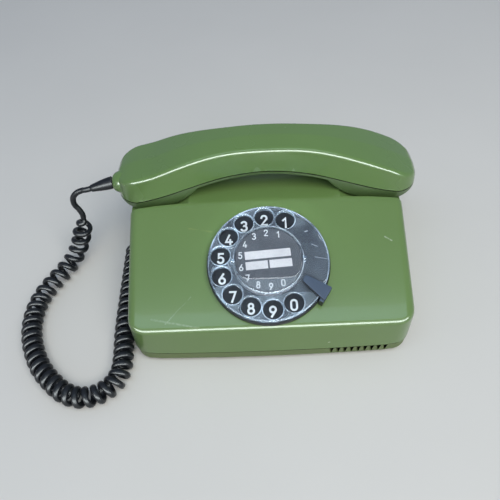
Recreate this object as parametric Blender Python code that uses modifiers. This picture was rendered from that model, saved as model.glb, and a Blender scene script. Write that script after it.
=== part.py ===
"""Wedge-shaped rotary desk telephone with a curly handset cord, in metres, +Z up.

The front faces -Y, the origin is at the bottom centre of the case's footprint.
"""

import math

import bmesh
import bpy
from mathutils import Euler, Matrix, Vector

for old_object in list(bpy.data.objects):
    bpy.data.objects.remove(old_object)

# Case: overall sizes
CASE_HALF_WIDTH = 0.0933
CASE_HALF_DEPTH = 0.0785
SIDE_TAPER_SHARE = 0.02
FRONT_BOW = 0.002
CASE_WALL = 0.0025
SLOPE_ANGLE = math.radians(19.6)
SLOPE_FRONT_Z = 0.0371
REAR_RUN = 0.0205
REAR_CREST_Y = CASE_HALF_DEPTH - REAR_RUN
SEAM_Z = 0.0127
PLAN_RADIUS = 0.012
SIDE_EDGE_RADIUS = 0.006
FRONT_EDGE_RADIUS = 0.0045
CREASE_RADIUS = 0.0015
REAR_EDGE_RADIUS = 0.007
SIDE_STEP_SHARES = (1.0, 0.6, 0.3, 0.09, 0.0)
FRONT_STEP_SHARES = (-0.64, -0.32, 0.0, 0.32, 0.64)

# Clearances and cuts
GAP = 0.0003
FIT = 0.0004
OVERRUN = 0.006

# Wells for the handset's two ends
WELL_DEPTH = 0.0443
WELL_BACK_MARGIN = 0.0061
WELL_FRONT_MARGIN = 0.001
WELL_BACK_Y = REAR_CREST_Y - WELL_BACK_MARGIN
WELL_FRONT_Y = WELL_BACK_Y - WELL_DEPTH
CREASE_Y = WELL_FRONT_Y - WELL_FRONT_MARGIN
DECK_Z = SLOPE_FRONT_Z + (CREASE_Y + CASE_HALF_DEPTH) * math.tan(SLOPE_ANGLE)
DECK_CROWN = 0.0013
WELL_SINK = 0.0079
WELL_FLOOR_Z = DECK_Z - WELL_SINK
SHOULDER_DROP = 0.0075
REAR_SHOULDER_Z = WELL_FLOOR_Z - SHOULDER_DROP
WELL_CLEARANCE = 0.0008

# Bottom tray
TRAY_UNDERSIDE_Z = 0.003
TRAY_FLOOR = 0.0025
TRAY_EDGE = 0.0014
TRAY_BOTTOM_INSET = 0.003
TRAY_SIDE_INSET = 0.001
TRAY_SEAM_INSET = 0.0002
LIP_HEIGHT = 0.003
LIP_THICKNESS = 0.0017
TRAY_WALL = 0.0022
VENT_COUNT = 9
VENT_PITCH = 0.00445
VENT_LAST_INSET = 0.0183
VENT_FIRST_X = CASE_HALF_WIDTH - VENT_LAST_INSET - (VENT_COUNT - 1) * VENT_PITCH
VENT_WIDTH = 0.0026
VENT_TIP = 0.0006
VENT_BOTTOM_Z = 0.0046

# Screws and feet
BOSS_INSET = 0.0143
BOSS_FRONT_INSET = 0.016
BOSS_BACK_INSET = 0.013
BOSS_X = CASE_HALF_WIDTH - BOSS_INSET
BOSS_FRONT_Y = -CASE_HALF_DEPTH + BOSS_FRONT_INSET
BOSS_BACK_Y = CASE_HALF_DEPTH - BOSS_BACK_INSET
BOSS_RADIUS = 0.0042
SCREW_RADIUS = 0.0015
SCREW_HEAD_RADIUS = 0.0031
SCREW_HEAD_HEIGHT = 0.0011
SCREW_LENGTH = 0.016
SCREW_SLOT = 0.0007
FOOT_INSET = 0.0253
FOOT_FRONT_INSET = 0.0265
FOOT_BACK_INSET = 0.0225
FOOT_X = CASE_HALF_WIDTH - FOOT_INSET
FOOT_FRONT_Y = -CASE_HALF_DEPTH + FOOT_FRONT_INSET
FOOT_BACK_Y = CASE_HALF_DEPTH - FOOT_BACK_INSET
FOOT_RADIUS = 0.0075
FOOT_STEM_RADIUS = 0.0024
FOOT_BULB_RADIUS = 0.0033
FOOT_BULB_HEIGHT = 0.0024
FOOT_EDGE = 0.0006

# Dial: along its own axis, heights count up from the sloping face
DIAL_SETBACK = 0.0405
DIAL_Y = -CASE_HALF_DEPTH + DIAL_SETBACK
DIAL_OPENING_RADIUS = 0.0368
BEZEL_RADIUS = 0.0398
BEZEL_RIM_HEIGHT = 0.0046
BEZEL_RIM_WIDTH = 0.0016
BEZEL_FLOOR_TOP = 0.0025
BEZEL_FLOOR = 0.0017
BEZEL_SKIRT_DEPTH = 0.0075
BEZEL_SKIRT_WALL = 0.0018
WHEEL_RADIUS = 0.039
WHEEL_THICKNESS = 0.0032
WHEEL_LIFT = 0.005
HOLE_COUNT = 10
HOLE_RADIUS = 0.0062
HOLE_PITCH_RADIUS = 0.0312
HOLE_STEP = math.radians(360.0 / 14.0)
FIRST_HOLE_ANGLE = math.radians(67.0)
HUB_RADIUS = 0.0225
HUB_CARD_LIFT = 0.0115
HUB_WALL = 0.0014
CARD_THICKNESS = 0.0008
COVER_RADIUS = 0.0228
COVER_LIP = 0.0012
COVER_THICKNESS = 0.001
SNAP_RADIUS = 0.0016
SNAP_HEIGHT = 0.0008
SHAFT_RADIUS = 0.003
STOP_ANGLE = math.radians(-34.0)
STOP_INNER_RADIUS = 0.0251
STOP_OUTER_RADIUS = 0.0432
STOP_INNER_WIDTH = 0.0044
STOP_LEAN = 0.0017
STOP_OUTER_WIDTH = 0.0098
STOP_THICKNESS = 0.0026
STOP_CLEARANCE = 0.0006

# Dial mechanism, under the face
FRAME_PLATE = 0.0014
FRAME_RADIUS = 0.033
FRAME_TOP_DEPTH = 0.0079
FRAME_SPACE = 0.0125
PILLAR_RADIUS = 0.0017
PILLAR_PITCH_RADIUS = 0.0285
PILLAR_ANGLES = (math.radians(75.0), math.radians(195.0), math.radians(285.0))
GEAR_MODULE = 0.0013
MAIN_TEETH = 24
PINION_TEETH = 8
WHEEL_TEETH = 16
GOVERNOR_TEETH = 8
GEAR_THICKNESS = 0.0014
PINION_THICKNESS = 0.0022
ADDENDUM_SHARE = 0.85
DEDENDUM_SHARE = 1.35
TOOTH_TIP_SHARE = 0.155
TOOTH_ROOT_SHARE = 0.4
MESH_PLAY = 0.0002
PULSE_ANGLE = math.radians(345.0)
GOVERNOR_ANGLE = math.radians(9.0)
SPINDLE_RADIUS = 0.0012
CAM_RADIUS = 0.0055
CAM_NOTCH = 0.0012
CAM_THICKNESS = 0.0012
WEIGHT_ARM = 0.0058
WEIGHT_RADIUS = 0.0014
WEIGHT_HEIGHT = 0.0024
CUP_RADIUS = 0.0082
CUP_WALL = 0.0008
CUP_HEIGHT = 0.0046
SPRING_TURNS = 3
SPRING_POINTS = 12
SPRING_OUTER_RADIUS = 0.0115
SPRING_STRIP = 0.0003
SPRING_HEIGHT = 0.0026

# Handset: two shells that meet at the seam
HANDSET_HALF_LENGTH = 0.103
HANDSET_SHIFT_X = 0.0015
HANDSET_BIAS = 0.00045
HANDSET_MID_Y = 0.5 * (WELL_FRONT_Y + WELL_BACK_Y) - HANDSET_BIAS
HANDSET_END_HALF = 0.0209
HANDSET_GRIP_HALF = 0.0155
WAIST_START = 0.02
WAIST_END_INSET = 0.025
WAIST_END = HANDSET_HALF_LENGTH - WAIST_END_INSET
HANDSET_HEIGHT = 0.0445
HANDSET_TOP_Z = WELL_FLOOR_Z + HANDSET_HEIGHT
HANDSET_TOP_DROP = 0.029
HANDSET_TOP_POWER = 2.2
LEFT_END_LIFT = 0.0055
LEFT_LIFT_RUN = 0.031
HANDSET_CROWN = 0.0012
HANDSET_LEAN = 0.0012
HANDSET_SEAM_HEIGHT = 0.0275
HANDSET_SEAM_Z = WELL_FLOOR_Z + HANDSET_SEAM_HEIGHT
HANDSET_SEAM_DROP = 0.019
HANDSET_SEAM_INSET = 0.013
HANDSET_SEAM_REACH = HANDSET_HALF_LENGTH - HANDSET_SEAM_INSET
HANDSET_PLAN_RADIUS = 0.016
HANDSET_END_RADIUS = 0.0045
HANDSET_EDGE_RADIUS = 0.0032
HANDSET_WALL = 0.0024
GRIP_SKIN = 0.0034
GRIP_BELLY = 0.0022
CUP_LENGTH = 0.059
CUP_FLAT_INSET = 0.029
CUP_RISE_INSET = 0.018
CUP_START_X = HANDSET_HALF_LENGTH - CUP_LENGTH
CUP_FLAT_X = HANDSET_HALF_LENGTH - CUP_FLAT_INSET
CUP_RISE_X = HANDSET_HALF_LENGTH - CUP_RISE_INSET
CUP_BIAS = 0.0025
CUP_MIDDLE_X = HANDSET_SHIFT_X - CUP_BIAS
CUP_BOTTOM_Z = WELL_FLOOR_Z + 2.0 * FIT
CUP_END_RISE = 0.0055
CUP_DRAFT = 0.0012
CUP_EDGE_RADIUS = 0.0028
CAPSULE_INSET = 0.0265
CAPSULE_X = HANDSET_HALF_LENGTH - CAPSULE_INSET
CAPSULE_RADIUS = 0.0142
CAPSULE_NOSE_RADIUS = 0.007
CAPSULE_NOSE = 0.0055
CAPSULE_HEIGHT = 0.0075
GRILLE_HOLES = 5
GRILLE_RADIUS = 0.0011
GRILLE_PITCH_RADIUS = 0.0046
COLLAR_RADIUS = 0.0072
COLLAR_EDGE = 0.0014
COLLAR_LENGTH = 0.0022
COLLAR_OFFSET = 0.0068
COLLAR_Y = HANDSET_MID_Y - COLLAR_OFFSET
COLLAR_HEIGHT = 0.0161
COLLAR_Z = WELL_FLOOR_Z + COLLAR_HEIGHT
COLLAR_SINK = 0.005
LIFT_CLEARANCE = 0.0003

# Curly cord: radii and lay
WIRE_RADIUS = 0.00195
COIL_RADIUS = 0.0053
CURL_COUNT = 48
CURL_POINTS = 8
CURL_PITCH = 0.0063
HANG_PITCH = 0.0084
HANG_CURLS = 6.0
SETTLE_CURLS = 6.0
COIL_START_RUN = 0.034
RAMP_CURLS = 1.0
RELIEF_LENGTH = 0.0165
RELIEF_ROOT_RADIUS = 0.0043
RELIEF_TIP_RADIUS = 0.0026
GLAND_FLANGE_RADIUS = 0.0034
GLAND_FLANGE = 0.0018
GLAND_NECK_RADIUS = 0.0026
GLAND_X = -0.062
INLET_X = 0.03

# Hook lever under the wells
HOOK_AXIS_INSET = 0.016
HOOK_AXIS_Y = CASE_HALF_DEPTH - HOOK_AXIS_INSET
HOOK_AXIS_DEPTH = 0.009
HOOK_AXIS_Z = WELL_FLOOR_Z - HOOK_AXIS_DEPTH
HOOK_PIN_INSET = 0.0345
HOOK_X = HANDSET_HALF_LENGTH - HOOK_PIN_INSET
HOOK_Y = HANDSET_MID_Y
HOOK_PIN_X = 0.0048
HOOK_PIN_Y = 0.0058
HOOK_ARM = 0.0032
HOOK_ARM_DEPTH = 0.013
HOOK_ARM_Z = WELL_FLOOR_Z - HOOK_ARM_DEPTH
HOOK_SHAFT_RADIUS = 0.0016
HOOK_SHAFT_HALF = 0.0445
HOOK_EYE_RADIUS = 0.0034
HOOK_HOLE_MARGIN = 0.0016
BRACKET_X = 0.0345
BRACKET_WALL = 0.002
BRACKET_DEPTH = 0.0065

# Ringer and electrics on the tray
BOARD_Z = 0.0105
BOARD_THICKNESS = 0.0016
BOARD_DEPTH = 0.0325
BOARD_WIDTH = 0.048
BOARD_FRONT_INSET = 0.0125
BOARD_SIDE_INSET = 0.0253
BOARD_FRONT_Y = -CASE_HALF_DEPTH + BOARD_FRONT_INSET
BOARD_BACK_Y = BOARD_FRONT_Y + BOARD_DEPTH
BOARD_RIGHT_X = CASE_HALF_WIDTH - BOARD_SIDE_INSET
BOARD_LEFT_X = BOARD_RIGHT_X - BOARD_WIDTH
COIL_CORE_X = 0.016
COIL_CORE_Y = 0.013
COIL_CORE_Z = 0.011
COIL_CORE_INSET = 0.015
COIL_CORE_PLACE_X = BOARD_RIGHT_X - COIL_CORE_INSET
CAPACITOR_RADIUS = 0.0045
CAPACITOR_LENGTH = 0.016
GONG_RADIUS = 0.0185
GONG_HEIGHT = 0.0095
GONG_WALL = 0.0011
GONG_X = 0.0255
GONG_BACK_INSET = 0.0345
GONG_Y = CASE_HALF_DEPTH - GONG_BACK_INSET
GONG_Z = 0.0165
POST_RADIUS = 0.0035
RINGER_BASE_X = 0.03
RINGER_BASE_DEPTH = 0.0195
RINGER_TO_GONGS = 0.0285
RINGER_BASE_BACK_Y = GONG_Y - RINGER_TO_GONGS
RINGER_BASE_FRONT_Y = RINGER_BASE_BACK_Y - RINGER_BASE_DEPTH
RINGER_PLATE = 0.0015
MAGNET_RADIUS = 0.0062
MAGNET_LENGTH = 0.017
MAGNET_X = 0.0125
MAGNET_Z = 0.0165
YOKE_WALL = 0.0018
CLAPPER_PIVOT_RUN = 0.0033
CLAPPER_PIVOT_Y = RINGER_BASE_BACK_Y + CLAPPER_PIVOT_RUN
CLAPPER_ROD_RADIUS = 0.0008
CLAPPER_BALL_RADIUS = 0.0022
CLAPPER_REACH = 0.0265
ARMATURE_HALF = 0.0165
ARMATURE_THICKNESS = 0.0018
ARMATURE_HEIGHT = 0.006
PIVOT_RADIUS = 0.0011
KNOB_SIDE_INSET = 0.0413
KNOB_RUN = 0.0455
KNOB_X = CASE_HALF_WIDTH - KNOB_SIDE_INSET
KNOB_Y = BOARD_BACK_Y + KNOB_RUN
KNOB_RADIUS = 0.008
KNOB_HEIGHT = 0.0018
KNOB_STEM_RADIUS = 0.0022
KNOB_STEM_TOP = 0.0105
KNOB_FLANGE_RADIUS = 0.0045

TURN = 2.0 * math.pi
QUARTER = 0.5 * math.pi
MERGE = 0.00001

parts = bpy.data.collections.new("rotary_telephone")
cutters = bpy.data.collections.new("rotary_telephone_cutters")
bpy.context.scene.collection.children.link(parts)
bpy.context.scene.collection.children.link(cutters)


# Finishes
def finish(name, color, roughness, metallic=0.0, transmission=0.0):
    material = bpy.data.materials.new(name)
    material.use_nodes = True
    shader = material.node_tree.nodes["Principled BSDF"]
    shader.inputs["Base Color"].default_value = (*color, 1.0)
    shader.inputs["Roughness"].default_value = roughness
    shader.inputs["Metallic"].default_value = metallic
    shader.inputs["Transmission Weight"].default_value = transmission
    material.diffuse_color = (*color, 1.0)
    return material


# Tools: objects, lofts, turned shapes, outlines and cuts
def place(name, mesh, material=None, parent=None, group=None):
    item = bpy.data.objects.new(name, mesh)
    (group or parts).objects.link(item)
    if material:
        mesh.materials.append(material)
    if parent:
        item.parent = parent
    return item


def as_cutter(item):
    for group in item.users_collection:
        group.objects.unlink(item)
    cutters.objects.link(item)
    item.hide_render = True
    item.display_type = "WIRE"
    return item


def smooth(item, angle=40.0):
    item.data.shade_smooth()
    item.data.set_sharp_from_angle(angle=math.radians(angle))
    return item


def loft(name, rings, material=None, parent=None, as_cut=False):
    """Solid through rings that all have the same number of points."""
    mesh = bpy.data.meshes.new(name)
    work = bmesh.new()
    rows = [[work.verts.new(point) for point in ring] for ring in rings]
    count = len(rings[0])
    for row, following in zip(rows, rows[1:]):
        for index in range(count):
            after = (index + 1) % count
            work.faces.new((row[index], row[after], following[after], following[index]))
    work.faces.new(rows[0])
    work.faces.new(rows[-1])
    bmesh.ops.recalc_face_normals(work, faces=work.faces)
    work.to_mesh(mesh)
    work.free()
    item = place(name, mesh, material, parent)
    return as_cutter(item) if as_cut else smooth(item)


def turned(name, profile, steps, material=None, parent=None, closed=False):
    """Profile of radius and height, run down its outer side, turned about Z."""
    mesh = bpy.data.meshes.new(name)
    work = bmesh.new()
    points = [work.verts.new((radius, 0.0, height)) for radius, height in profile]
    for first, second in zip(points, points[1:]):
        work.edges.new((first, second))
    if closed:
        work.edges.new((points[-1], points[0]))
    work.to_mesh(mesh)
    work.free()
    item = place(name, mesh, material, parent)
    screw = item.modifiers.new("Turn", "SCREW")
    screw.steps = steps
    screw.render_steps = steps
    screw.use_merge_vertices = True
    screw.merge_threshold = MERGE
    return item


def outline(name, loops, thickness, material=None, parent=None, matrix=None):
    """Flat outline with any holes, extruded to both sides of its own plane."""
    curve = bpy.data.curves.new(name, "CURVE")
    curve.dimensions = "2D"
    curve.fill_mode = "BOTH"
    curve.extrude = 0.5 * thickness
    for loop in loops:
        spline = curve.splines.new("POLY")
        spline.points.add(len(loop) - 1)
        for point, (across, along) in zip(spline.points, loop):
            point.co = (across, along, 0.0, 1.0)
        spline.use_cyclic_u = True
    guide = bpy.data.objects.new(name, curve)
    parts.objects.link(guide)
    return curve_as_mesh(guide, name, material, parent, matrix)


def curve_as_mesh(guide, name, material=None, parent=None, matrix=None):
    graph = bpy.context.evaluated_depsgraph_get()
    mesh = bpy.data.meshes.new_from_object(guide.evaluated_get(graph))
    work = bmesh.new()
    work.from_mesh(mesh)
    bmesh.ops.remove_doubles(work, verts=work.verts, dist=MERGE)
    bmesh.ops.recalc_face_normals(work, faces=work.faces)
    if work.calc_volume(signed=True) < 0.0:
        bmesh.ops.reverse_faces(work, faces=work.faces)
    if matrix:
        bmesh.ops.transform(work, matrix=matrix, verts=work.verts)
    work.to_mesh(mesh)
    work.free()
    place_matrix = guide.matrix_world.copy()
    bpy.data.objects.remove(guide)
    mesh.name = name
    mesh.materials.clear()
    item = place(name, mesh, material, parent)
    item.matrix_world = place_matrix
    return smooth(item)


def tube(name, points, radius, resolution, material, parent=None):
    curve = bpy.data.curves.new(name, "CURVE")
    curve.dimensions = "3D"
    curve.bevel_depth = radius
    curve.bevel_resolution = resolution
    curve.use_fill_caps = True
    spline = curve.splines.new("POLY")
    spline.points.add(len(points) - 1)
    for knot, point in zip(spline.points, points):
        knot.co = (*point, 1.0)
    curve.materials.append(material)
    item = bpy.data.objects.new(name, curve)
    parts.objects.link(item)
    item.parent = parent
    return item


def cylinder(name, radius, low, high, centre=(0.0, 0.0), sides=24, material=None,
             parent=None, top_radius=None):
    """Upright cylinder or cone between two heights."""
    mesh = bpy.data.meshes.new(name)
    work = bmesh.new()
    upper = radius if top_radius is None else top_radius
    middle = Matrix.Translation((centre[0], centre[1], 0.5 * (low + high)))
    bmesh.ops.create_cone(work, cap_ends=True, segments=sides, radius1=radius,
                          radius2=upper, depth=high - low, matrix=middle)
    work.to_mesh(mesh)
    work.free()
    return smooth(place(name, mesh, material, parent))


def box(name, low, high, material=None, parent=None):
    mesh = bpy.data.meshes.new(name)
    work = bmesh.new()
    size = [end - start for start, end in zip(low, high)]
    middle = [0.5 * (start + end) for start, end in zip(low, high)]
    matrix = Matrix.Translation(middle) @ Matrix.Diagonal((*size, 1.0))
    bmesh.ops.create_cube(work, size=1.0, matrix=matrix)
    work.to_mesh(mesh)
    work.free()
    return place(name, mesh, material, parent)


def change(item, tool, operation):
    modifier = item.modifiers.new(tool.name, "BOOLEAN")
    modifier.operation = operation
    modifier.solver = "EXACT"
    modifier.object = tool
    return item


def cut(item, tool):
    return change(item, as_cutter(tool), "DIFFERENCE")


def join(item, tool):
    return change(item, as_cutter(tool), "UNION")


def round_edges(item, width, segments=2, angle=40.0):
    modifier = item.modifiers.new("Round edges", "BEVEL")
    modifier.width = width
    modifier.segments = segments
    modifier.limit_method = "ANGLE"
    modifier.angle_limit = math.radians(angle)
    return item


def fillet(corners, radii, steps):
    """Open polyline whose inner corners are rounded, always with the same count."""
    line = [Vector(corners[0])]
    for before, corner, after, radius, count in zip(
            corners, corners[1:], corners[2:], radii, steps):
        before, corner, after = Vector(before), Vector(corner), Vector(after)
        back = (before - corner)
        ahead = (after - corner)
        half = 0.5 * back.angle(ahead)
        shorter = min(back.length, ahead.length)
        reach = min(max(radius / math.tan(half), 0.05 * shorter), 0.49 * shorter)
        start = corner + back.normalized() * reach
        end = corner + ahead.normalized() * reach
        for index in range(count + 1):
            share = index / count
            turn = share * share * (3.0 - 2.0 * share)
            weight = 4.0 * turn * (1.0 - turn)
            middle = corner.lerp(0.5 * (start + end), 0.5858)
            straight = start.lerp(end, turn)
            line.append(straight + (middle - 0.5 * (start + end)) * weight)
    line.append(Vector(corners[-1]))
    return line


def quarter_inset(distance, radius):
    """How far a quarter round of this radius has drawn in, at a distance from its side."""
    if radius <= 0.0 or distance >= radius:
        return 0.0
    return radius - math.sqrt(max(radius ** 2 - (radius - distance) ** 2, 0.0))


# Case surfaces
TAN_SLOPE = math.tan(SLOPE_ANGLE)
COS_SLOPE = math.cos(SLOPE_ANGLE)


def slope_z(y):
    return SLOPE_FRONT_Z + (y + CASE_HALF_DEPTH) * TAN_SLOPE


def rear_z(y):
    return DECK_Z - (DECK_Z - REAR_SHOULDER_Z) * (y - REAR_CREST_Y) / (
        CASE_HALF_DEPTH - REAR_CREST_Y)


def half_width(y):
    return CASE_HALF_WIDTH + SIDE_TAPER_SHARE * (y - CREASE_Y)


def crown_drop(x):
    """How far the crowned deck has fallen towards the sides."""
    return DECK_CROWN * (x / CASE_HALF_WIDTH) ** 2


def stations(inset):
    """Distances from the side wall, and side, of each cross-section of the case."""
    radius = PLAN_RADIUS - inset
    steps = [share * radius for share in SIDE_STEP_SHARES]
    left = [(-1.0, distance) for distance in reversed(steps)]
    middle = [(share, None) for share in FRONT_STEP_SHARES]
    right = [(1.0, distance) for distance in steps]
    return left + middle + right


def station_x(side, distance, y, inset):
    reach = half_width(y) - inset
    if distance is None:
        return side * reach
    return side * (reach - distance)


def front_y(side, distance, inset, height_share):
    bow = FRONT_BOW * (side ** 2 if distance is None else 1.0)
    draw = 0.0 if distance is None else quarter_inset(distance, PLAN_RADIUS - inset)
    return -CASE_HALF_DEPTH + bow + (FRONT_BOW - bow) * height_share + inset + draw


def case_ring(side, distance, inset, bottom_z):
    draw = 0.0 if distance is None else quarter_inset(distance, PLAN_RADIUS - inset)
    drop = 0.0 if distance is None else quarter_inset(distance, SIDE_EDGE_RADIUS - inset)
    top = inset + drop
    low_share = (bottom_z - SEAM_Z) / (SLOPE_FRONT_Z - SEAM_Z)
    low_y = front_y(side, distance, inset, low_share)
    high_y = front_y(side, distance, inset, 1.0)
    back_y = CASE_HALF_DEPTH - inset - draw
    reach = CASE_HALF_WIDTH * abs(side) if distance is None else CASE_HALF_WIDTH - inset - distance
    crown = crown_drop(reach)
    deck = DECK_Z - crown - top
    face_drop = top / COS_SLOPE
    crease_y = CREASE_Y + (face_drop - top - crown) / TAN_SLOPE
    rear_run = CASE_HALF_DEPTH - REAR_CREST_Y
    rear_fall = (DECK_Z - REAR_SHOULDER_Z) / rear_run
    rear_drop = top * math.sqrt(1.0 + rear_fall ** 2)
    crest_y = REAR_CREST_Y - (rear_drop - top - crown) / rear_fall
    shoulder_z = DECK_Z - rear_fall * (back_y - REAR_CREST_Y) - rear_drop
    corners = [
        (low_y, bottom_z),
        (high_y, slope_z(high_y) - face_drop),
        (crease_y, deck),
        (crest_y, deck),
        (back_y, shoulder_z),
        (back_y, bottom_z),
    ]
    radii = (FRONT_EDGE_RADIUS - inset, CREASE_RADIUS, REAR_EDGE_RADIUS, REAR_EDGE_RADIUS)
    line = fillet(corners, radii, (4, 1, 2, 2))
    return [Vector((station_x(side, distance, y, inset), y, z)) for y, z in line]


def case_solid(name, inset, bottom_z, material=None, as_cut=False):
    rings = [case_ring(side, distance, inset, bottom_z) for side, distance in stations(inset)]
    return loft(name, rings, material, as_cut=as_cut)


def plan_ring(inset, z):
    """Footprint of the case at its seam, drawn in by an inset."""
    front = []
    back = []
    for side, distance in stations(inset):
        y = front_y(side, distance, inset, 0.0)
        front.append(Vector((station_x(side, distance, y, inset), y, z)))
        draw = 0.0 if distance is None else quarter_inset(distance, PLAN_RADIUS - inset)
        y = CASE_HALF_DEPTH - inset - draw
        back.append(Vector((station_x(side, distance, y, inset), y, z)))
    return front + back[::-1]


def well_block(name, side, grow):
    """Cutter for one well, whose floor follows the underside of the cup that lies in it,
    or, grown by the wall, the room that its wall needs."""
    rings = []
    top = DECK_Z + OVERRUN
    outer = CASE_HALF_WIDTH + OVERRUN
    runs = along(CUP_START_X, CUP_FLAT_X, WELL_SHARES) + [outer]
    for reach in runs[::int(side)]:
        x = side * (reach - grow) + CUP_MIDDLE_X
        floor = min(cup_curve(reach) - WELL_CLEARANCE - grow, top - GAP)
        front = WELL_FRONT_Y - crown_drop(x) * (x / outer) ** 2 / TAN_SLOPE - grow
        back = WELL_BACK_Y + grow
        rings.append([Vector((x, y, z)) for y, z in (
            (front, top), (front, floor), (back, floor), (back, top))])
    return loft(name, rings, as_cut=True)


CORNERS = [(side, y) for side in (-1.0, 1.0) for y in (BOSS_FRONT_Y, BOSS_BACK_Y)]
FOOT_PLACES = [(side, y) for side in (-1.0, 1.0) for y in (FOOT_FRONT_Y, FOOT_BACK_Y)]
DIAL_Z = slope_z(DIAL_Y)
FLOOR_Z = TRAY_UNDERSIDE_Z + TRAY_FLOOR
GLAND_Z = FLOOR_Z + GAP + GLAND_FLANGE_RADIUS
LIP_INSET = CASE_WALL + FIT
WELL_SHARES = (0.13, 0.2, 0.28, 0.38, 0.5, 0.64, 0.8, 1.0)


# Top shell: moulded cover with the sloping face, the deck and the two wells
def make_top_shell(material):
    bottom = SEAM_Z
    shell = case_solid("top_shell", 0.0, bottom, material)
    for side, word in ((-1.0, "left"), (1.0, "right")):
        change(shell, well_block("well_cut_" + word, side, 0.0), "DIFFERENCE")
    room = case_solid("shell_room", CASE_WALL, bottom - OVERRUN, as_cut=True)
    for side, word in ((-1.0, "left"), (1.0, "right")):
        change(room, well_block("well_wall_" + word, side, CASE_WALL), "DIFFERENCE")
    change(shell, room, "DIFFERENCE")
    for index, (side, y) in enumerate(CORNERS):
        under = slope_z(y - BOSS_RADIUS) if y < CREASE_Y else rear_z(y + BOSS_RADIUS)
        boss = cylinder("shell_boss_%d" % index, BOSS_RADIUS, FLOOR_Z + GAP,
                        under - 0.5 * CASE_WALL, (side * BOSS_X, y), 10)
        join(shell, boss)
        bore = cylinder("boss_bore_%d" % index, SCREW_RADIUS + GAP, FLOOR_Z - OVERRUN,
                        FLOOR_Z + SCREW_LENGTH, (side * BOSS_X, y), 8)
        cut(shell, bore)
    opening = cylinder("dial_opening", DIAL_OPENING_RADIUS, -OVERRUN, OVERRUN, sides=32)
    opening.location = (0.0, DIAL_Y, DIAL_Z)
    opening.rotation_euler = (SLOPE_ANGLE, 0.0, 0.0)
    cut(shell, opening)
    for side, word in ((-1.0, "left"), (1.0, "right")):
        margin_x = 0.5 * HOOK_PIN_X + HOOK_HOLE_MARGIN
        margin_y = 0.5 * HOOK_PIN_Y + HOOK_HOLE_MARGIN
        low = (side * HOOK_X - margin_x, HOOK_Y - margin_y, WELL_FLOOR_Z - OVERRUN)
        high = (side * HOOK_X + margin_x, HOOK_Y + margin_y, WELL_FLOOR_Z + OVERRUN)
        cut(shell, box("hook_hole_" + word, low, high))


# Bottom tray: shallow pan with a locating lip, vents, screw and foot holes
def make_tray(material):
    rim = SEAM_Z - GAP
    lip_in = LIP_INSET
    rings = [
        plan_ring(TRAY_BOTTOM_INSET, TRAY_UNDERSIDE_Z),
        plan_ring(TRAY_SIDE_INSET, TRAY_UNDERSIDE_Z + TRAY_EDGE),
        plan_ring(TRAY_SEAM_INSET, rim),
        plan_ring(lip_in, rim),
        plan_ring(lip_in, rim + LIP_HEIGHT),
    ]
    tray = loft("bottom_tray", rings, material)
    wall_in = TRAY_SIDE_INSET + TRAY_WALL
    room_in = lip_in + LIP_THICKNESS
    room = loft("tray_room", [
        plan_ring(wall_in, FLOOR_Z),
        plan_ring(wall_in, rim - 2.0 * LIP_THICKNESS),
        plan_ring(room_in, rim - LIP_THICKNESS),
        plan_ring(room_in, rim + LIP_HEIGHT + OVERRUN),
    ], as_cut=True)
    change(tray, room, "DIFFERENCE")
    for index in range(VENT_COUNT):
        middle = VENT_FIRST_X + index * VENT_PITCH
        loop = [
            (middle - 0.5 * VENT_WIDTH, SEAM_Z),
            (middle - 0.5 * VENT_TIP, VENT_BOTTOM_Z),
            (middle + 0.5 * VENT_TIP, VENT_BOTTOM_Z),
            (middle + 0.5 * VENT_WIDTH, SEAM_Z),
        ]
        stand = Matrix.Translation((0.0, -CASE_HALF_DEPTH, 0.0))
        stand = stand @ Matrix.Rotation(QUARTER, 4, "X")
        cut(tray, outline("vent_%d" % index, [loop], 2.0 * OVERRUN, matrix=stand))
    for index, (side, y) in enumerate(CORNERS):
        centre = (side * BOSS_X, y)
        cut(tray, cylinder("tray_bore_%d" % index, SCREW_RADIUS + GAP,
                           TRAY_UNDERSIDE_Z - OVERRUN, FLOOR_Z + OVERRUN, centre, 8))
        seat = TRAY_UNDERSIDE_Z + SCREW_HEAD_HEIGHT + GAP
        cut(tray, cylinder("head_recess_%d" % index, SCREW_HEAD_RADIUS + FIT,
                           TRAY_UNDERSIDE_Z - OVERRUN, seat, centre, 10))
    for index, (side, y) in enumerate(FOOT_PLACES):
        cut(tray, cylinder("foot_bore_%d" % index, FOOT_STEM_RADIUS + GAP,
                           TRAY_UNDERSIDE_Z - OVERRUN, FLOOR_Z + OVERRUN,
                           (side * FOOT_X, y), 10))
    for word, across in (("cord", GLAND_X), ("line", INLET_X)):
        notch = cylinder(word + "_bore", GLAND_NECK_RADIUS + GAP, -OVERRUN, OVERRUN, sides=10)
        notch.location = (across, CASE_HALF_DEPTH, GLAND_Z)
        notch.rotation_euler = (QUARTER, 0.0, 0.0)
        cut(tray, notch)
        reach = GLAND_FLANGE_RADIUS + FIT
        low = (across - reach, CASE_HALF_DEPTH - LIP_INSET - OVERRUN, FLOOR_Z)
        high = (across + reach, CASE_HALF_DEPTH - LIP_INSET, rim + LIP_HEIGHT + OVERRUN)
        cut(tray, box(word + "_notch", low, high))
    cut(tray, cylinder("knob_bore", KNOB_STEM_RADIUS + GAP, TRAY_UNDERSIDE_Z - OVERRUN,
                       FLOOR_Z + OVERRUN, (KNOB_X, KNOB_Y), 10))


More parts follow.
